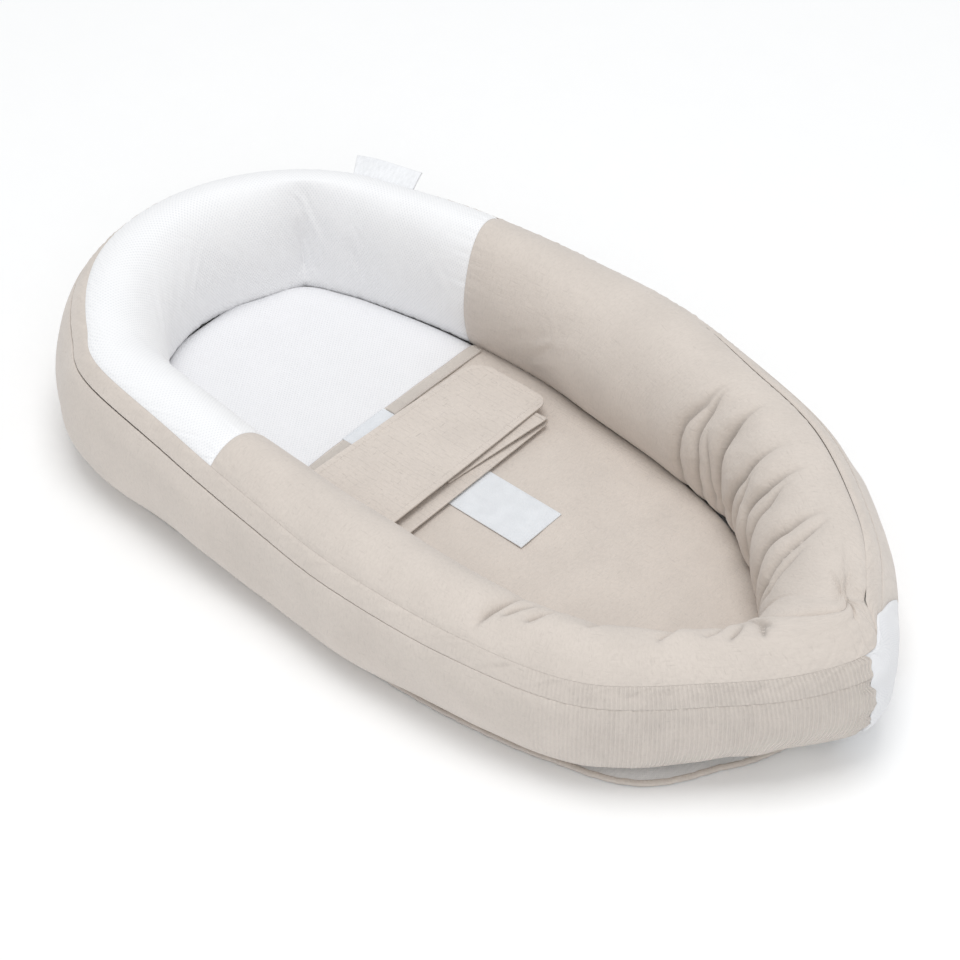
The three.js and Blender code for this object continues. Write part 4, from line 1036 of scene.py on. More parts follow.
def flat_pad(name, outline, x_ends, rows, columns, top, bottom, finish):
    """Flat piece with the outline of the well or the base, cut off at both ends along x."""
    clear = 1e-5
    low_x = max(x_ends[0], outline[:, 0].min() + clear)
    high_x = min(x_ends[1], outline[:, 0].max() - clear)
    x = low_x + (high_x - low_x) * eased(rows, 0.9)
    y_low, y_high = crossings(outline, x)
    across = eased(columns, 0.7)[None, :]
    y = y_low[:, None] + (y_high - y_low)[:, None] * across
    x = x[:, None] + 0 * y
    sides = np.minimum(y - y_low[:, None], y_high[:, None] - y)
    tips = np.minimum(x - outline[:, 0].min(), outline[:, 0].max() - x)
    inside = np.minimum(sides, tips)
    layers = [np.stack([x, y, level(x, y, inside)], -1) for level in (top, bottom)]
    points = np.concatenate([layers[0], layers[1][:, ::-1]], 1)
    faces = shell_faces(rows + 1, columns + 1, columns + 1)
    return mesh_piece(name, points, faces, finish, points[..., :2])


def line_tree():
    """Geometry nodes that set small rounded grains along lines: stitches or zip teeth."""
    ready = bpy.data.node_groups.get("grains along a line")
    if ready:
        return ready
    tree = bpy.data.node_groups.new("grains along a line", "GeometryNodeTree")
    for label, way, kind in (("Lines", "INPUT", "Geometry"), ("Pitch", "INPUT", "Float"),
                             ("Size", "INPUT", "Vector"), ("Finish", "INPUT", "Material"),
                             ("Grains", "OUTPUT", "Geometry")):
        tree.interface.new_socket(label, in_out=way, socket_type=f"NodeSocket{kind}")
    given = tree.nodes.new("NodeGroupInput").outputs
    curve = node(tree, "GeometryNodeMeshToCurve", None, Mesh=given["Lines"]).outputs[0]
    even = node(tree, "GeometryNodeResampleCurve", {"mode": "LENGTH"}, Curve=curve,
                Length=given["Pitch"]).outputs[0]
    tangent = node(tree, "GeometryNodeInputTangent").outputs[0]
    outward = node(tree, "GeometryNodeInputNamedAttribute", {"data_type": "FLOAT_VECTOR"},
                   Name="outward").outputs[0]
    turn = node(tree, "FunctionNodeAlignRotationToVector", {"axis": "X"}, Vector=tangent).outputs[0]
    turn = node(tree, "FunctionNodeAlignRotationToVector", {"axis": "Z", "pivot_axis": "X"},
                Rotation=turn, Vector=outward).outputs[0]
    grain = node(tree, "GeometryNodeMeshIcoSphere", None, Radius=0.5, Subdivisions=1).outputs[0]
    placed = node(tree, "GeometryNodeInstanceOnPoints", None, Points=even, Instance=grain,
                  Rotation=turn, Scale=given["Size"]).outputs[0]
    real = node(tree, "GeometryNodeRealizeInstances", None, Geometry=placed).outputs[0]
    smooth = node(tree, "GeometryNodeSetShadeSmooth", None, Geometry=real).outputs[0]
    done = node(tree, "GeometryNodeSetMaterial", None, Geometry=smooth, Material=given["Finish"])
    result = tree.nodes.new("NodeGroupOutput")
    tree.links.new(done.outputs[0], result.inputs[0])
    return tree


def grains_along(name, lines, pitch, size, finish):
    """Stitches or teeth along lines. Each line is its points and the outward direction there."""
    points, outward, edges = [], [], []
    for spots, ways in lines:
        spots = np.asarray(spots, float)
        start = len(points)
        edges += [(start + i, start + i + 1) for i in range(len(spots) - 1)]
        points += spots.tolist()
        outward += np.broadcast_to(np.asarray(ways, float), spots.shape).tolist()
    mesh = bpy.data.meshes.new(name + "_lines")
    mesh.from_pydata(points, edges, [])
    kept = mesh.attributes.new("outward", "FLOAT_VECTOR", "POINT")
    kept.data.foreach_set("vector", np.array(outward, np.float32).ravel())
    holder = bpy.data.objects.new(name + "_lines", mesh)
    bpy.context.scene.collection.objects.link(holder)
    tree = line_tree()
    modifier = holder.modifiers.new("grains", "NODES")
    modifier.node_group = tree
    inputs = {item.name: item.identifier for item in tree.interface.items_tree if item.in_out == "INPUT"}
    modifier[inputs["Pitch"]] = pitch
    modifier[inputs["Size"]] = size
    modifier[inputs["Finish"]] = finish_of(finish)
    shaped = holder.evaluated_get(bpy.context.evaluated_depsgraph_get())
    made = bpy.data.meshes.new_from_object(shaped)
    bpy.data.objects.remove(holder)
    made.name = name
    if not made.materials:
        made.materials.append(finish_of(finish))
    piece = bpy.data.objects.new(name, made)
    bpy.context.scene.collection.objects.link(piece)
    return piece


def stitched(context, name, lines, wide, high, body, slot, thread="sewing thread"):
    """Stitches along lines, each as wide and high as given."""
    pitch = context.scene.lounger_covers.stitch_length
    piece = grains_along(name, lines, pitch, (STITCH, wide, high), thread)
    return place_piece(piece, body, slot)


def ring_line(at, degrees, depth):
    """Line on the ring with its outward directions."""
    spots = ring_point(at, degrees, depth)
    return spots, ring_point(at, degrees, depth - 0.001) - spots


# Rows and columns of a cover. The filling: its lowest angle, its wall and its distance inside, and
# how much deeper than the covers it is folded
COVER_ROWS, COVER_COLUMNS = 560, 132
FILLING_ANGLE, FILLING_THICK, FILLING_DEPTH, FILLING_FOLDS = -130, 0.02, 0.004, 1.35
STITCH = 0.0026
UP = (0, 0, 1)


class LOUNGER_OT_bolster(bpy.types.Operator):
    """Makes the bolster's three covers and its filling"""
    bl_idname = "lounger.bolster"
    bl_label = "Bolster"

    def execute(self, context):
        covers = context.scene.lounger_covers
        stuff_bolster(covers)

        def form(at, degrees, points, distances):
            height = plain_form(at, degrees, points) + folds(at, degrees, points, covers)[0]
            return height + gathers(distances, covers.pucker_height)

        # Mask of the folds' bottoms, which the cotton finish paints darker as shade
        def folded(at, degrees):
            return folds(at, degrees, ring_point(at, degrees), covers)[1]

        split_far = places_for(FAR_CHANGE, CLOSED_SPLIT) / 2
        split_near = places_for(NEAR_CHANGE, CLOSED_SPLIT) / 2
        split_foot = places_for(0, CLOSED_SPLIT) / 2
        sides = (lambda at: SEAM_ANGLE + seam_gap(at), TUCKED_ANGLE)
        for place, ends, finish, slot, flat, dense in (
            ("far", (lambda d: foot_seam(d) + split_foot, FAR_CHANGE - split_far),
             "crinkled cotton", "crinkled_cotton", (0.20, 0.56), (0.4, 4.0, 2.4)),
            ("head", (FAR_CHANGE + split_far, NEAR_CHANGE - split_near),
             "waffle spacer mesh", "spacer_mesh", (0.20, 0.62), (9.6, 10.7, 2)),
            ("near", (NEAR_CHANGE + split_near, lambda d: POINTS + foot_seam(d) - split_foot),
             "crinkled cotton", "crinkled_cotton", (0.20, 0.56), (21.8, 25.6, 2)),
        ):
            cover = ring_shell(f"{place}_cover_cloth", ends, sides, COVER_ROWS, COVER_COLUMNS,
                               COVER_THICK, finish, form, roll_depth=seam_groove(covers.seam_depth),
                               stuffed=True, inner_step=4, dense=dense, marks={"folded": folded})
            place_piece(cover, "root", slot, f"bolster_{place}_cover")

        def filling_form(at, degrees, points, distances):
            deep = FILLING_FOLDS * folds(at, degrees, points, covers)[0]
            height = (plain_form(at, degrees, points) + deep) * share(degrees, 20, 60)
            return height + 0.0006 * lumps(points, 0.04, 8) - 0.0006

        split = places_for(0, 0.002) / 2
        filling = ring_shell("filling_fibre", (split, POINTS - split), (FILLING_ANGLE, CONTACT_ANGLE),
                             340, 100, FILLING_THICK, "brushed polyester fibre", filling_form,
                             top=FILLING_DEPTH)
        place_piece(filling, "root", "fibre_filling", "bolster_filling")
        return {"FINISHED"}


# Half of the zip slit at each place, in millimetres
SLIT_PLACES = (0, 1, 2.6, 3.2, 4.2, 5, 7, 13, 18.5, 21.5, 23.6, 26)
SLIT_HALVES = (0.15, 0.3, 0.5, 1.5, 1.5, 0.8, 0.8, 0.8, 0.8, 0.35, 0.03, 0.03)


def slit_turn(at):
    """Half of the zip slit, in degrees: nearly shut on the near side, open where the far one
    bends."""
    return degrees_for(MM * np.interp(at % POINTS, SLIT_PLACES, SLIT_HALVES))


def ribbed(at, degrees):
    """Where the fabric is gathered into upright ribs, by the near foot."""
    place = at % POINTS
    place = np.where(place < 2, place + POINTS, place)
    return share(place, 22.3, 23.4) * (1 - share(place, 25.85, 26.1))


# How far the strip stands out round the head, and the rolls at the four edges of strip and wall
STRIP_PROUD = 0.0020
STRIP_ROLL, WALL_ROLL = (1, 1, 0.25, 1), (1, 1, 1, 0.25)


class LOUNGER_OT_walls(bpy.types.Operator):
    """Makes the strips above the zip, the walls below it and the white piece at the foot"""
    bl_idname = "lounger.walls"
    bl_label = "Walls"

    def execute(self, context):
        covers = context.scene.lounger_covers
        split = places_for(GUSSET_FROM, CLOSED_SPLIT, ZIP_ANGLE) / 2

        def gusset_end(degrees):
            return GUSSET_TO + np.interp(degrees, GUSSET_SLANT_DEGREES, GUSSET_SLANT_PLACES)

        def ragged(degrees):
            return 0.04 * np.sin(degrees * 0.21) + 0.025 * np.sin(degrees * 0.47 + 1)

        near = (BACK_SEAM + split, lambda d: POINTS + GUSSET_FROM + ragged(d) - split)
        far = (lambda d: gusset_end(d) + split, BACK_SEAM - split)

        def unrest(at, least):
            return np.clip(swell(at % POINTS, 21.5, POINTS + 0.6) + swell(at, 0.6, 5), least, 1)

        def wall_form(at, degrees, points, distances):
            clear = share(distances[3], 0.004, 0.02)
            small = 0.0007 * unrest(at, 0.25) * lumps(points, 0.035, 22)
            soft = 0.0011 * lumps(points, 0.12, 21) + small
            low = 0.0020 * lumps(points, 0.17, 27) * (1 - share(degrees, -30, 15))
            return clear * (soft + low) + gathers(distances, covers.pucker_height, (1, 1, 1, 0))

        def strip_form(at, degrees, points, distances):
            clear = share(distances[2], 0.003, 0.012) * share(distances[3], 0.001, 0.009)
            place = at % POINTS
            round_head = share(place, 5, 6.5) * (1 - share(place, 12.5, 14))
            proud = STRIP_PROUD * round_head * share(distances[2], 0.004, 0.014)
            soft = 0.0012 * unrest(at, 0.3) * lumps(points, 0.03, 23)
            return proud + clear * soft + gathers(distances, covers.pucker_height * 1.4, (1, 1, 0, 1))

        def seam(at):
            return SEAM_ANGLE - seam_gap(at)

        def zip_high(at):
            return ZIP_ANGLE + slit_turn(at)

        def zip_low(at):
            return ZIP_ANGLE - slit_turn(at)

        for place, ends, rows, run, ease in (("near", near, 900, 1.24, 0.3),
                                             ("far", far, 500, 0.68, 1.8)):
            made = {"spread": 0.5, "marks": {"ribbing": ribbed}, "ease": ease}
            strip = ring_shell(f"{place}_strip_cloth", ends, (zip_high, seam), rows, 16, FLAP_THICK,
                               "crinkled cotton", strip_form, roll=STRIP_ROLL,
                               roll_depth=seam_groove(covers.seam_depth), **made)
            place_piece(strip, "root", "crinkled_cotton", f"side_strip_{place}")
            wall = ring_shell(f"{place}_wall_cloth", ends, (WALL_FOOT_ANGLE, zip_low), rows, 40,
                              COVER_THICK, "crinkled cotton", wall_form, roll=WALL_ROLL,
                              roll_depth=covers.seam_depth, **made)
            place_piece(wall, "root", "crinkled_cotton", f"side_wall_{place}")

        def gusset_form(at, degrees, points, distances):
            return 0.0008 * lumps(points, 0.03, 25) + gathers(distances, covers.pucker_height)

        ends = (lambda d: GUSSET_FROM + ragged(d) + split,
                lambda d: gusset_end(d) - split)
        # The foot piece takes the greyer copy of the spacer mesh, painted darker as shade
        gusset = ring_shell("gusset_cloth", ends, (WALL_FOOT_ANGLE, seam), 60, 60, COVER_THICK,
                            "worn spacer mesh", gusset_form, roll_depth=covers.seam_depth, ease=0)
        place_piece(gusset, "root", "spacer_mesh", "foot_gusset")
        return {"FINISHED"}


# The zip's tapes: their thickness, where they begin and end beside the zip's line, and how far they
# stop short of the foot piece. Its teeth: how far they lie from that line and above the tapes, their
# pitch and their size
TAPE_THICK, TAPE_FROM, TAPE_TO, TAPE_SHORT = 0.0008, 0.0012, 0.0122, 0.0085
TEETH_AWAY, TEETH_RAISED, TOOTH_PITCH, TOOTH = 0.0022, 0.001, 0.0019, (0.0015, 0.0021, 0.0019)


class LOUNGER_OT_zip(bpy.types.Operator):
    """Makes the zip's tapes and teeth, and finishes its stops, slider and pull"""
    bl_idname = "lounger.zip"
    bl_label = "Zip"

    def execute(self, context):
        tape_top = FLAP_THICK + GAP
        teeth_depth = tape_top + TAPE_THICK + GAP + TEETH_RAISED
        start = GUSSET_TO + places_for(GUSSET_TO, TAPE_SHORT, ZIP_ANGLE)
        end = POINTS + GUSSET_FROM - places_for(GUSSET_FROM, TAPE_SHORT, ZIP_ANGLE)
        at = np.linspace(start, end, 1500)
        for place, side in (("upper", 1), ("lower", -1)):
            angles = sorted(ZIP_ANGLE + side * degrees_for(length) for length in (TAPE_FROM, TAPE_TO))
            tape = ring_shell(f"{place}_tape_cloth", (start, end), angles, 700, 8, TAPE_THICK,
                              "woven zip tape", top=tape_top, spread=0.0)
            place_piece(tape, "root", "zip_tape", f"zip_tape_{place}")
            line = ring_line(at, ZIP_ANGLE + side * degrees_for(TEETH_AWAY), teeth_depth)
            teeth = grains_along(f"{place}_coil", [line], TOOTH_PITCH, TOOTH, "moulded nylon coil")
            place_piece(teeth, "root", "zip_coil", f"zip_teeth_{place}")
        for finish, names in (("moulded nylon coil", ("zip_stop_far", "zip_stop_near")),
                              ("lacquered cast zinc", ("zip_slider", "zip_pull"))):
            for name in names:
                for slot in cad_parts[name].material_slots:
                    slot.material = finish_of(finish)
        return {"FINISHED"}


# Where the base shows under the wall, and how far its edge lies inside the ring there, elsewhere
# and at the foot tip
FLAP_CENTRE, FLAP_REACH, FLAP_INSET = 23.5, 0.75, 0.010
BASE_INSET, FOOT_INSET, BASE_THICK = 0.022, 0.046, 0.003
BINDING_THICK, BINDING_WIDE = 0.0009, 0.004


def base_inset(at):
    """How far the base's edge lies inside the ring: it shows under the wall by the near foot."""
    from_foot = np.minimum(at, POINTS - at)
    hidden = FOOT_INSET + (BASE_INSET - FOOT_INSET) * share(from_foot, 0.4, 2.2)
    away = np.abs(at - FLAP_CENTRE) / FLAP_REACH
    return FLAP_INSET + (hidden - FLAP_INSET) * share(away, 0, 1)


class LOUNGER_OT_base(bpy.types.Operator):
    """Makes the base panel and the binding sewn round its edge"""
    bl_idname = "lounger.base"
    bl_label = "Base"

    def execute(self, context):
        at = np.linspace(0, POINTS, 721)[:-1]
        inset = base_inset(at)
        thick, wide = BINDING_THICK, BINDING_WIDE
        outline = base_point(at, inset + thick + GAP, 0.0)[:, :2]

        def top(x, y, inside):
            return BASE_THICK - 0.0006 * np.exp(-inside / 0.004) + 0 * x

        def bottom(x, y, inside):
            return 0.0004 * np.exp(-inside / 0.004) + 0 * x

        panel = flat_pad("base_cloth", outline, (-1, 1), 160, 60, top, bottom, "woven base sheet")
        place_piece(panel, "root", "base_fabric", "base_panel")
        # Section of the folded binding, as inset and height
        low, high = 0.0007, BASE_THICK + GAP + thick
        under = high - thick
        section = np.array([
            (0.0004, low), (0.0008, low - 0.0001), (thick, low + 0.0004), (thick, under - 0.0002),
            (0.0014, under), (wide * 0.5, under), (wide, under), (wide + 0.0002, high - 0.0004),
            (wide, high - 0.0001), (wide * 0.6, high + 0.0001), (0.0018, high),
            (0.0006, high - 0.0003), (0.0001, high - 0.0011), (0.0, 0.0022),
        ])
        ripple = 0.00025 * np.sin(at * 31) + 0.0002 * np.sin(at * 53 + 1)
        rows = base_point(at[:, None], inset[:, None] + section[:, 0], section[:, 1] + ripple[:, None])
        run = running_length(rows, 0)[:, :1] + 0 * rows[..., 0]
        cloth = np.stack([run, running_length(rows, 1)], -1)
        faces = quad_rows(len(at), len(section), closed=True)
        binding = mesh_piece("binding_tape", rows, faces, "crinkled cotton", cloth)
        place_piece(binding, "root", "crinkled_cotton", "base_binding")
        line = base_point(at, inset + wide - 0.0012, high + 0.0002)
        stitched(context, "base_stitches", [(np.r_[line, line[:1]], UP)], 0.0006, 0.0005,
                 "root", "crinkled_cotton")
        return {"FINISHED"}


MATTRESS_LOW, MATTRESS_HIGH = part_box("mattress_core")
MATTRESS_MIDDLE = (MATTRESS_LOW + MATTRESS_HIGH) / 2
MATTRESS_SIZE = MATTRESS_HIGH - MATTRESS_LOW


def crown_at(x, y):
    along = 2 * (x - MATTRESS_MIDDLE.x) / MATTRESS_SIZE.x
    across = 2 * (y - MATTRESS_MIDDLE.y) / MATTRESS_SIZE.y
    return MATTRESS_CROWN * np.maximum(1 - along**2, 0) * np.maximum(1 - across**2, 0)


def well_outline(play):
    """Outline of the mattress, at the given distance from the ring that it touches."""
    at = np.linspace(0, POINTS, 1041)[:-1]
    _, inward, _, contact = ring_station(at)[:4]
    return ring_point(at, 180 + np.degrees(contact))[:, :2] + inward * play


def slab(name, x_ends, y_ends, thick, finish, rows=40, columns=24, edge=0.0012):
    """Band that lies on the crowned mattress, with rounded edges."""
    (x0, x1), (y0, y1) = x_ends, y_ends
    x = x0 + (x1 - x0) * eased(rows, 0.8)[:, None]
    y = y0 + (y1 - y0) * eased(columns, 0.8)[None, :]
    x, y = np.broadcast_arrays(x, y)
    near = np.minimum(np.minimum(x - x0, x1 - x), np.minimum(y - y0, y1 - y))
    level = MATTRESS_LEVEL + GAP + crown_at(x, y)
    top = level + thick * (0.35 + 0.65 * rounded(near, edge))
    points = np.concatenate([np.stack([x, y, top], -1), np.stack([x, y, level], -1)[:, ::-1]], 1)
    faces = shell_faces(rows + 1, columns + 1, columns + 1)
    return mesh_piece(name, points, faces, finish, points[..., :2])


def slab_border(x_ends, y_ends, inset, height):
    """Closed stitch line just inside a band's edge."""
    (x0, x1), (y0, y1) = (x_ends[0] + inset, x_ends[1] - inset), (y_ends[0] + inset, y_ends[1] - inset)
    corners = [(x0, y0), (x1, y0), (x1, y1), (x0, y1)]
    spots = []
    for start, end in zip(corners, corners[1:] + corners[:1]):
        for step in np.linspace(0, 1, 24, endpoint=False):
            x, y = (a + (b - a) * step for a, b in zip(start, end))
            spots.append((x, y, MATTRESS_LEVEL + GAP + float(crown_at(x, y)) + height))
    return np.array(spots + spots[:1])


# Thickness of what lies on the mattress, and how far its tops tuck in under the ring
PILE_THICK, HEM_THICK, HEM_EDGE = 0.0009, 0.0015, 0.0005
TUCK_REACH = 0.0035
COTTON_TUCK, MESH_TUCK, TUCK_WIDTH = 0.0045, 0.0085, 0.0050


class LOUNGER_OT_mattress(bpy.types.Operator):
    """Makes the mattress, its two sewn tops, the hem and the hook-and-loop strip"""
    bl_idname = "lounger.mattress"
    bl_label = "Mattress"

    def execute(self, context):
        outline, reached = well_outline(MATTRESS_PLAY), well_outline(-TUCK_REACH)
        change = HEAD_END + FABRIC_CHANGE

        def core_top(x, y, inside):
            return MATTRESS_LEVEL - SHEET_THICK - GAP - 0.0095 * np.exp(-inside / 0.0065) - 0.0006

        def core_bottom(x, y, inside):
            return FLOOR_OF_RING + GAP + 0.003 * np.exp(-inside / 0.006) + 0 * x

        core = flat_pad("core_foam", outline, (-1, 1), 120, 50, core_top, core_bottom, "open cell foam")
        place_piece(core, "root", "foam", "mattress_core")

        def sheet_top(x, y, inside):
            points = np.stack([x, y, 0 * x], -1)
            soft = -0.0005 * (1 + lumps(points, 0.07, 31)) * share(inside, 0.01, 0.04)
            tucked = np.where(x < change, MESH_TUCK, COTTON_TUCK) * np.exp(-inside / TUCK_WIDTH)
            seam = 0.0005 * bell(x - change, 0.002)
            return MATTRESS_LEVEL + crown_at(x, y) + np.minimum(soft, 0) - tucked - seam

        def sheet_bottom(x, y, inside):
            return sheet_top(x, y, inside) - SHEET_THICK

        # The mesh top takes the greyer copy of the spacer mesh, painted darker as shade
        for name, ends, finish, slot, flat in (
            ("mattress_mesh_top", (-1, change - SEAM_SPLIT / 2), "worn spacer mesh",
             "spacer_mesh", (0.22, 0.20)),
            ("mattress_cotton_top", (change + SEAM_SPLIT / 2, 1), "crinkled cotton",
             "crinkled_cotton", (0.25, 0.42)),
        ):
            top = flat_pad(name.replace("mattress", "sewn"), reached, ends, 150, 80,
                           sheet_top, sheet_bottom, finish)
            place_piece(top, "root", slot, name)

        low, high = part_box("loop_strip")
        x_ends, y_ends = (change + SEAM_SPLIT / 2, high.x), (low.y, high.y)
        strip = slab("loop_strip_pile", x_ends, y_ends, PILE_THICK, "hook and loop pile")
        place_piece(strip, "root", "loop_tape", "loop_strip")
        border = slab_border(x_ends, y_ends, 0.002, PILE_THICK)
        stitched(context, "strip_stitches", [(border, UP)], 0.0004, 0.0003, "root", "loop_tape",
                 "white thread")
        lines = []
        for name in ("hem_near", "hem_far"):
            low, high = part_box(name)
            hem = slab(f"{name}_cloth", (low.x, high.x), (low.y, high.y), HEM_THICK, "pressed cotton",
                       rows=16, columns=60, edge=HEM_EDGE)
            place_piece(hem, "root", "crinkled_cotton", name)
            y = np.linspace(low.y + 0.002, high.y - 0.002, 60)
            x = np.full_like(y, high.x - 0.0022)
            lines.append((np.c_[x, y, MATTRESS_LEVEL + GAP + crown_at(x, y) + HEM_THICK], UP))
        stitched(context, "mattress_stitches", lines, 0.0005, 0.0004, "root", "crinkled_cotton")
        return {"FINISHED"}


def half_turn(centre_y, bottom, radius, outwards, steps=14):
    """Points of a fold from its lower leg up to its upper one, in (y, z)."""
    turns = np.linspace(-math.pi / 2, math.pi / 2, steps)
    return [(centre_y + outwards * radius * math.cos(turn), bottom + radius + radius * math.sin(turn))
            for turn in turns]


def corner_cut(end, radius):
    """How far a rounded corner lies inside the edge, at a distance from the end."""
    return radius - np.sqrt(np.clip(radius**2 - (radius - np.minimum(end, radius)) ** 2, 0, None))


# Folds of the belt: the near one's radius and how far out it turns, and the far one's
NEAR_FOLD, NEAR_FOLD_OUT, FAR_FOLD, FAR_FOLD_OUT = 0.0042, 0.0014, 0.0031, 0.0014
FAR_FOLD_Y, FAR_WING_RISE = 0.092, 0.0062
# Near wing: radii of its corners, width at its root, how it tapers and shifts, and its seam
CORNER_HEAD, CORNER_FOOT = 0.022, 0.012
ROOT_WIDTH, TAPER, SHIFT, WING_SEAM = 0.091, 0.011, 0.009, 0.006
FAR_END_WIDTH = 0.080
STITCH_HEIGHT = 0.0002


class LOUNGER_OT_belt(bpy.types.Operator):
    """Makes the belt's panel, its two folded wings and their patches"""
    bl_idname = "lounger.belt"
    bl_label = "Belt"

    def execute(self, context):
        belt = context.scene.lounger_belt
        half = belt.thickness / 2
        left = HEAD_END + belt.start
        panel_low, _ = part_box("belt_panel")
        middle = panel_low.z + half
        near_low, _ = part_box("belt_near_wing")
        near_y, near_z = near_low.y, near_low.z + half
        far_y, far_z = AXIS_Y + FAR_FOLD_Y, middle + FAR_WING_RISE

        turn_y = far_y + FAR_FOLD_OUT
        panel_path = through([(near_y + 0.0001, middle), (turn_y, middle)]
                             + half_turn(turn_y, middle, FAR_FOLD, 1)[1:] + [(far_y + 0.0002, far_z)])
        panel = strap("panel_cloth", panel_path, lambda s: (left + 0 * s, left + belt.width + 0 * s),
                      150, 40, half, "slub cotton")
        place_piece(panel, "belt", "crinkled_cotton", "belt_panel")

        turned = half_turn(near_y - NEAR_FOLD_OUT, middle, NEAR_FOLD, -1)
        lead = sum(math.dist(a, b) for a, b in zip(turned, turned[1:])) + 2 * NEAR_FOLD_OUT
        wing_path = through([(near_y - 0.0001, middle)] + turned
                            + [(near_y + 0.002, near_z), (near_y + belt.near_wing, near_z)])
        length = belt.near_wing

        def wing_edges(s):
            reach = np.clip(s - lead, 0, length)
            turned_share = share(s, 0, lead + 0.01)
            x0 = left - SHIFT * turned_share + TAPER * reach / length
            x1 = left + belt.width + (ROOT_WIDTH - SHIFT - belt.width) * turned_share
            end = length - reach
            return x0 + corner_cut(end, CORNER_HEAD), x1 - corner_cut(end, CORNER_FOOT)

        def wing_lift(s, x):
            points = np.stack([x, s + 0 * x, 0 * x], -1)
            away = share(s, lead + 0.004, lead + 0.03)
            return away * (0.0004 + 0.00035 * lumps(points, 0.06, 41))

        wing = strap("near_wing_cloth", wing_path, wing_edges, 230, 64, half, "slub cotton",
                     wing_lift, ply=0.0003)
        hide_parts("belt_near_wing")
        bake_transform(wing)

        tilt = math.asin((FAR_WING_RISE - belt.thickness - GAP) / belt.far_wing)
        far_end = (far_y - belt.far_wing * math.cos(tilt), far_z - belt.far_wing * math.sin(tilt))
        far_path = straight(far_end, (far_y, far_z))

        def far_edges(s):
            wider = (belt.width - FAR_END_WIDTH) * s / belt.far_wing
            return left + 0 * s, left + FAR_END_WIDTH + wider

        far = strap("far_wing_cloth", far_path, far_edges, 90, 40, half * 0.95, "slub cotton")
        place_piece(far, "far_wing", "crinkled_cotton", "belt_far_wing")

        for name, body, tilted in (("belt_hook_patch", "belt", 0),
                                   ("belt_near_wing_hooks", "near_wing", 0),
                                   ("belt_far_wing_loops", "far_wing", tilt)):
            low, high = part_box(name)
            rise = (high.y - low.y) * math.tan(tilted)
            centre = (low.z + high.z) / 2
            path = straight((low.y, centre - rise / 2), (high.y, centre + rise / 2))
            patch = strap(f"{name}_pile", path,
                          lambda s, low=low, high=high: (low.x + 0 * s, high.x + 0 * s),
                          24, 24, 0.0005, "hook and loop pile")
            place_piece(patch, body, "loop_tape", name)

        # Topstitching along the wing's edges, on the near wing's body
        s = np.linspace(lead + 0.012, lead + length - 0.004, 240)
        x0, x1 = wing_edges(s)
        y = wing_path(s)[0]
        lines = []

        def top_line(x, y, s):
            raised = wing_lift(s[:, None], x[:, None])[:, 0]
            return np.c_[x, y, near_z + half + raised + STITCH_HEIGHT]

        for x in (x0 + WING_SEAM, x1 - WING_SEAM):
            keep = (x > x0.min()) & (s < lead + length - WING_SEAM)
            lines.append((top_line(x, y, s)[keep], UP))
        end_x = np.linspace(x0[-1] + 0.001, x1[-1] - 0.001, 40)
        end_y = np.full_like(end_x, near_y + length - WING_SEAM)
        lines.append((top_line(end_x, end_y, np.full_like(end_x, lead + length - WING_SEAM)), UP))
        stitched(context, "belt_wing_stitches", lines, 0.0005, 0.0004, "near_wing", "crinkled_cotton")
        return {"FINISHED"}


# Label: its angle round the head, its width, height and thickness, and the roundness of its fold
LABEL_TURN, LABEL_WIDE, LABEL_HIGH, LABEL_PLY, LABEL_FOLD = 72, 0.052, 0.018, 0.0006, 0.0008


class LOUNGER_OT_label(bpy.types.Operator):
    """Makes the blank folded label that is sewn into the seam behind the head"""
    bl_idname = "lounger.label"
    bl_label = "Label"

    def execute(self, context):
        middle = BACK_SEAM + (HEAD_ARC_FROM - LABEL_TURN) / HEAD_ARC_STEP
        half = places_for(middle, LABEL_WIDE, SEAM_ANGLE) / 2
        fold, turn = degrees_for(0.0005) / 2, degrees_for(LABEL_PLY)
        straight_up = LABEL_HIGH - LABEL_FOLD
        heights = np.linspace(GAP, straight_up, 20)
        bend = np.linspace(0, math.pi, 9)[1:-1]
        outer = ([(-fold - turn, h) for h in heights]
                 + [(-(fold + turn) * math.cos(b), straight_up + LABEL_FOLD * math.sin(b)) for b in bend]
                 + [(fold + turn, h) for h in heights[::-1]])
        inner = [(fold, h) for h in heights] + [(-fold, h) for h in heights[::-1]]
        section = np.array(outer + inner)
        at = middle + half * np.linspace(-1, 1, 61)[:, None]
        bow = 1.4 * np.sin((at - middle) / half * 2.2 + 0.4) * (section[:, 1] / LABEL_HIGH) ** 2
        points = ring_point(at, SEAM_ANGLE + section[:, 0] + bow, -section[:, 1])
        width, count, leg = len(section), len(outer), len(heights)

        def cap(start):
            out, back = start + count, start + width
            faces = [(start + i + 1, start + i, back - 1 - i, back - 2 - i) for i in range(leg - 1)]
            faces += [(out - 1 - i, out - 2 - i, out + i + 1, out + i) for i in range(leg - 1)]
            tip = range(out - leg, start + leg - 2, -1)
            return faces + [(*tip, back - leg, out + leg - 1)]

        faces = with_caps(quad_rows(61, width), cap, 60 * width)
        run = running_length(points, 0)[:, :1] + 0 * points[..., 0]
        cloth = np.stack([run, running_length(points, 1)], -1)
        tab = mesh_piece("label_ribbon", points, faces, "woven label ribbon", cloth)
        place_piece(tab, "root", "label_tape", "label_tab")
        return {"FINISHED"}


# Camera of the photograph, and the studio
CAMERA_DIRECTION = (0.4744, -0.5465, 0.6901)
CAMERA_DISTANCE = 2.2502
CAMERA_TARGET = (0.0113, -0.0243, 0.060)
CAMERA_LENS = 106.4
FLOOR_REACH, FLOOR_LEVEL = 6.0, -0.0004
LAMP_WIDE, LAMP_TARGET = 2.0, (0, 0, 0.05)
SKY_COLOUR = (0.975, 0.99, 1, 1)


def aimed(item, place, target):
    """Sets an object at a place, looking at a target."""
    way = Vector(target) - Vector(place)
    item.location = place
    item.rotation_euler = way.to_track_quat("-Z", "Y").to_euler()


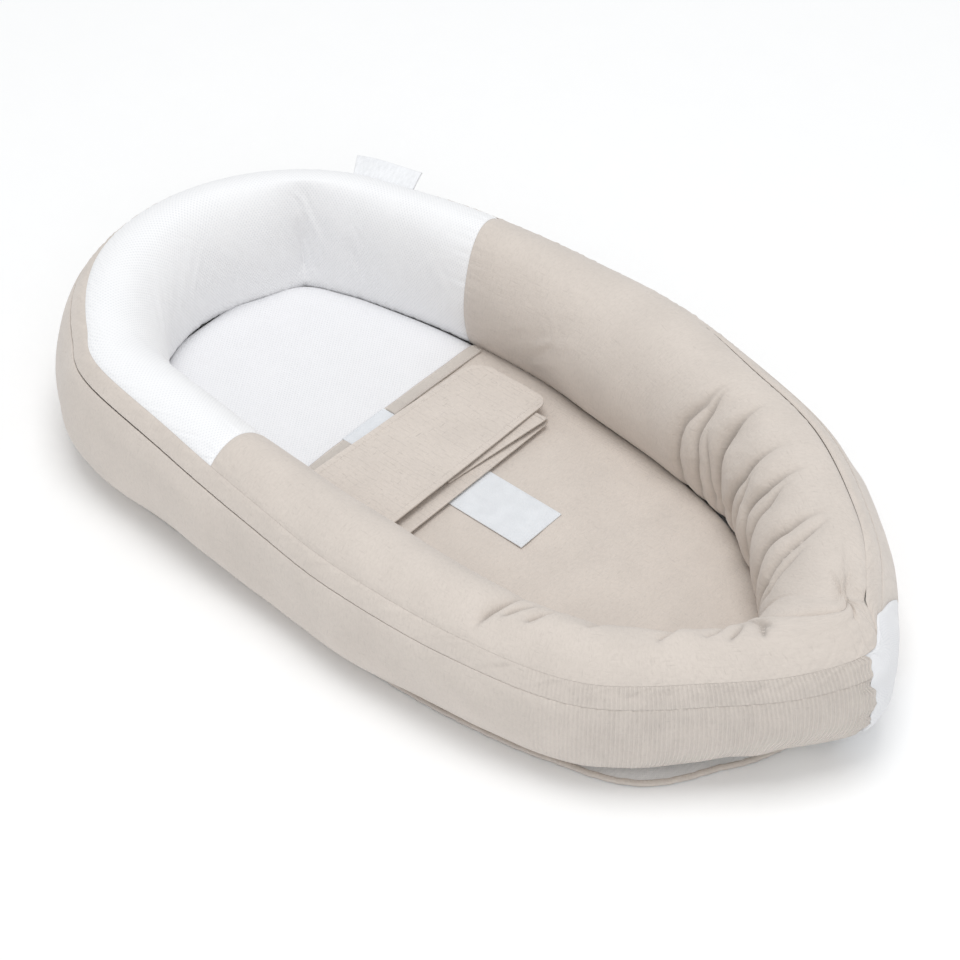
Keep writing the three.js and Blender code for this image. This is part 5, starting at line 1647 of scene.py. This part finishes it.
class LOUNGER_OT_stage(bpy.types.Operator):
    """Makes the floor, the lights and the camera"""
    bl_idname = "lounger.stage"
    bl_label = "Stage"

    def execute(self, context):
        studio = context.scene.lounger_studio
        ends = (-FLOOR_REACH, FLOOR_REACH)
        spots = [(x, y, FLOOR_LEVEL) for x in ends for y in ends]
        mesh = bpy.data.meshes.new("floor")
        mesh.from_pydata(spots, [], [(0, 2, 3, 1)])
        mesh.materials.append(finish_of("studio floor"))
        floor = bpy.data.objects.new("floor", mesh)
        context.scene.collection.objects.link(floor)
        for name, power, place in (("key", studio.key, (0.2, -0.15, 4.0)),
                                   ("front_fill", studio.fill, (1.6, -1.6, 2.2))):
            light = bpy.data.lights.new(name, "AREA")
            light.energy = power
            light.size = LAMP_WIDE
            lamp = bpy.data.objects.new(name, light)
            context.scene.collection.objects.link(lamp)
            aimed(lamp, place, LAMP_TARGET)
        world = bpy.data.worlds.new("white surround")
        world.use_nodes = True
        surround = world.node_tree.nodes["Background"].inputs
        surround["Color"].default_value = SKY_COLOUR
        surround["Strength"].default_value = studio.sky
        context.scene.world = world
        context.scene.view_settings.view_transform = "Standard"
        lens = bpy.data.cameras.new("camera")
        lens.lens = CAMERA_LENS
        lens.sensor_width = 36
        camera = bpy.data.objects.new("camera", lens)
        context.scene.collection.objects.link(camera)
        place = [t + CAMERA_DISTANCE * d for t, d in zip(CAMERA_TARGET, CAMERA_DIRECTION)]
        aimed(camera, place, CAMERA_TARGET)
        context.scene.camera = camera
        return {"FINISHED"}


STEPS = ("bolster", "walls", "zip", "base", "mattress", "belt", "label", "stage")


class LOUNGER_PT_sidebar(bpy.types.Panel):
    """Sizes, colours and steps of the lounger"""
    bl_idname = "LOUNGER_PT_sidebar"
    bl_label = "Infant lounger"
    bl_space_type = "VIEW_3D"
    bl_region_type = "UI"
    bl_category = "Lounger"

    def draw(self, context):
        for step in STEPS:
            self.layout.operator(f"lounger.{step}")
        for label in GROUPS:
            group = getattr(context.scene, label)
            box = self.layout.box()
            for name in group.__annotations__:
                box.prop(group, name)


GROUPS = {"lounger_covers": LoungerCovers, "lounger_belt": LoungerBelt,
          "lounger_colours": LoungerColours, "lounger_studio": LoungerStudio}
CLASSES = (*GROUPS.values(), LOUNGER_OT_bolster, LOUNGER_OT_walls, LOUNGER_OT_zip, LOUNGER_OT_base,
           LOUNGER_OT_mattress, LOUNGER_OT_belt, LOUNGER_OT_label, LOUNGER_OT_stage, LOUNGER_PT_sidebar)


def register():
    for made in CLASSES:
        bpy.utils.register_class(made)
    for name, group in GROUPS.items():
        setattr(bpy.types.Scene, name, bpy.props.PointerProperty(type=group))


def unregister():
    for name in GROUPS:
        delattr(bpy.types.Scene, name)
    for made in reversed(CLASSES):
        bpy.utils.unregister_class(made)


def main():
    register()
    for step in STEPS:
        getattr(bpy.ops.lounger, step)()


if __name__ == "__main__":
    main()
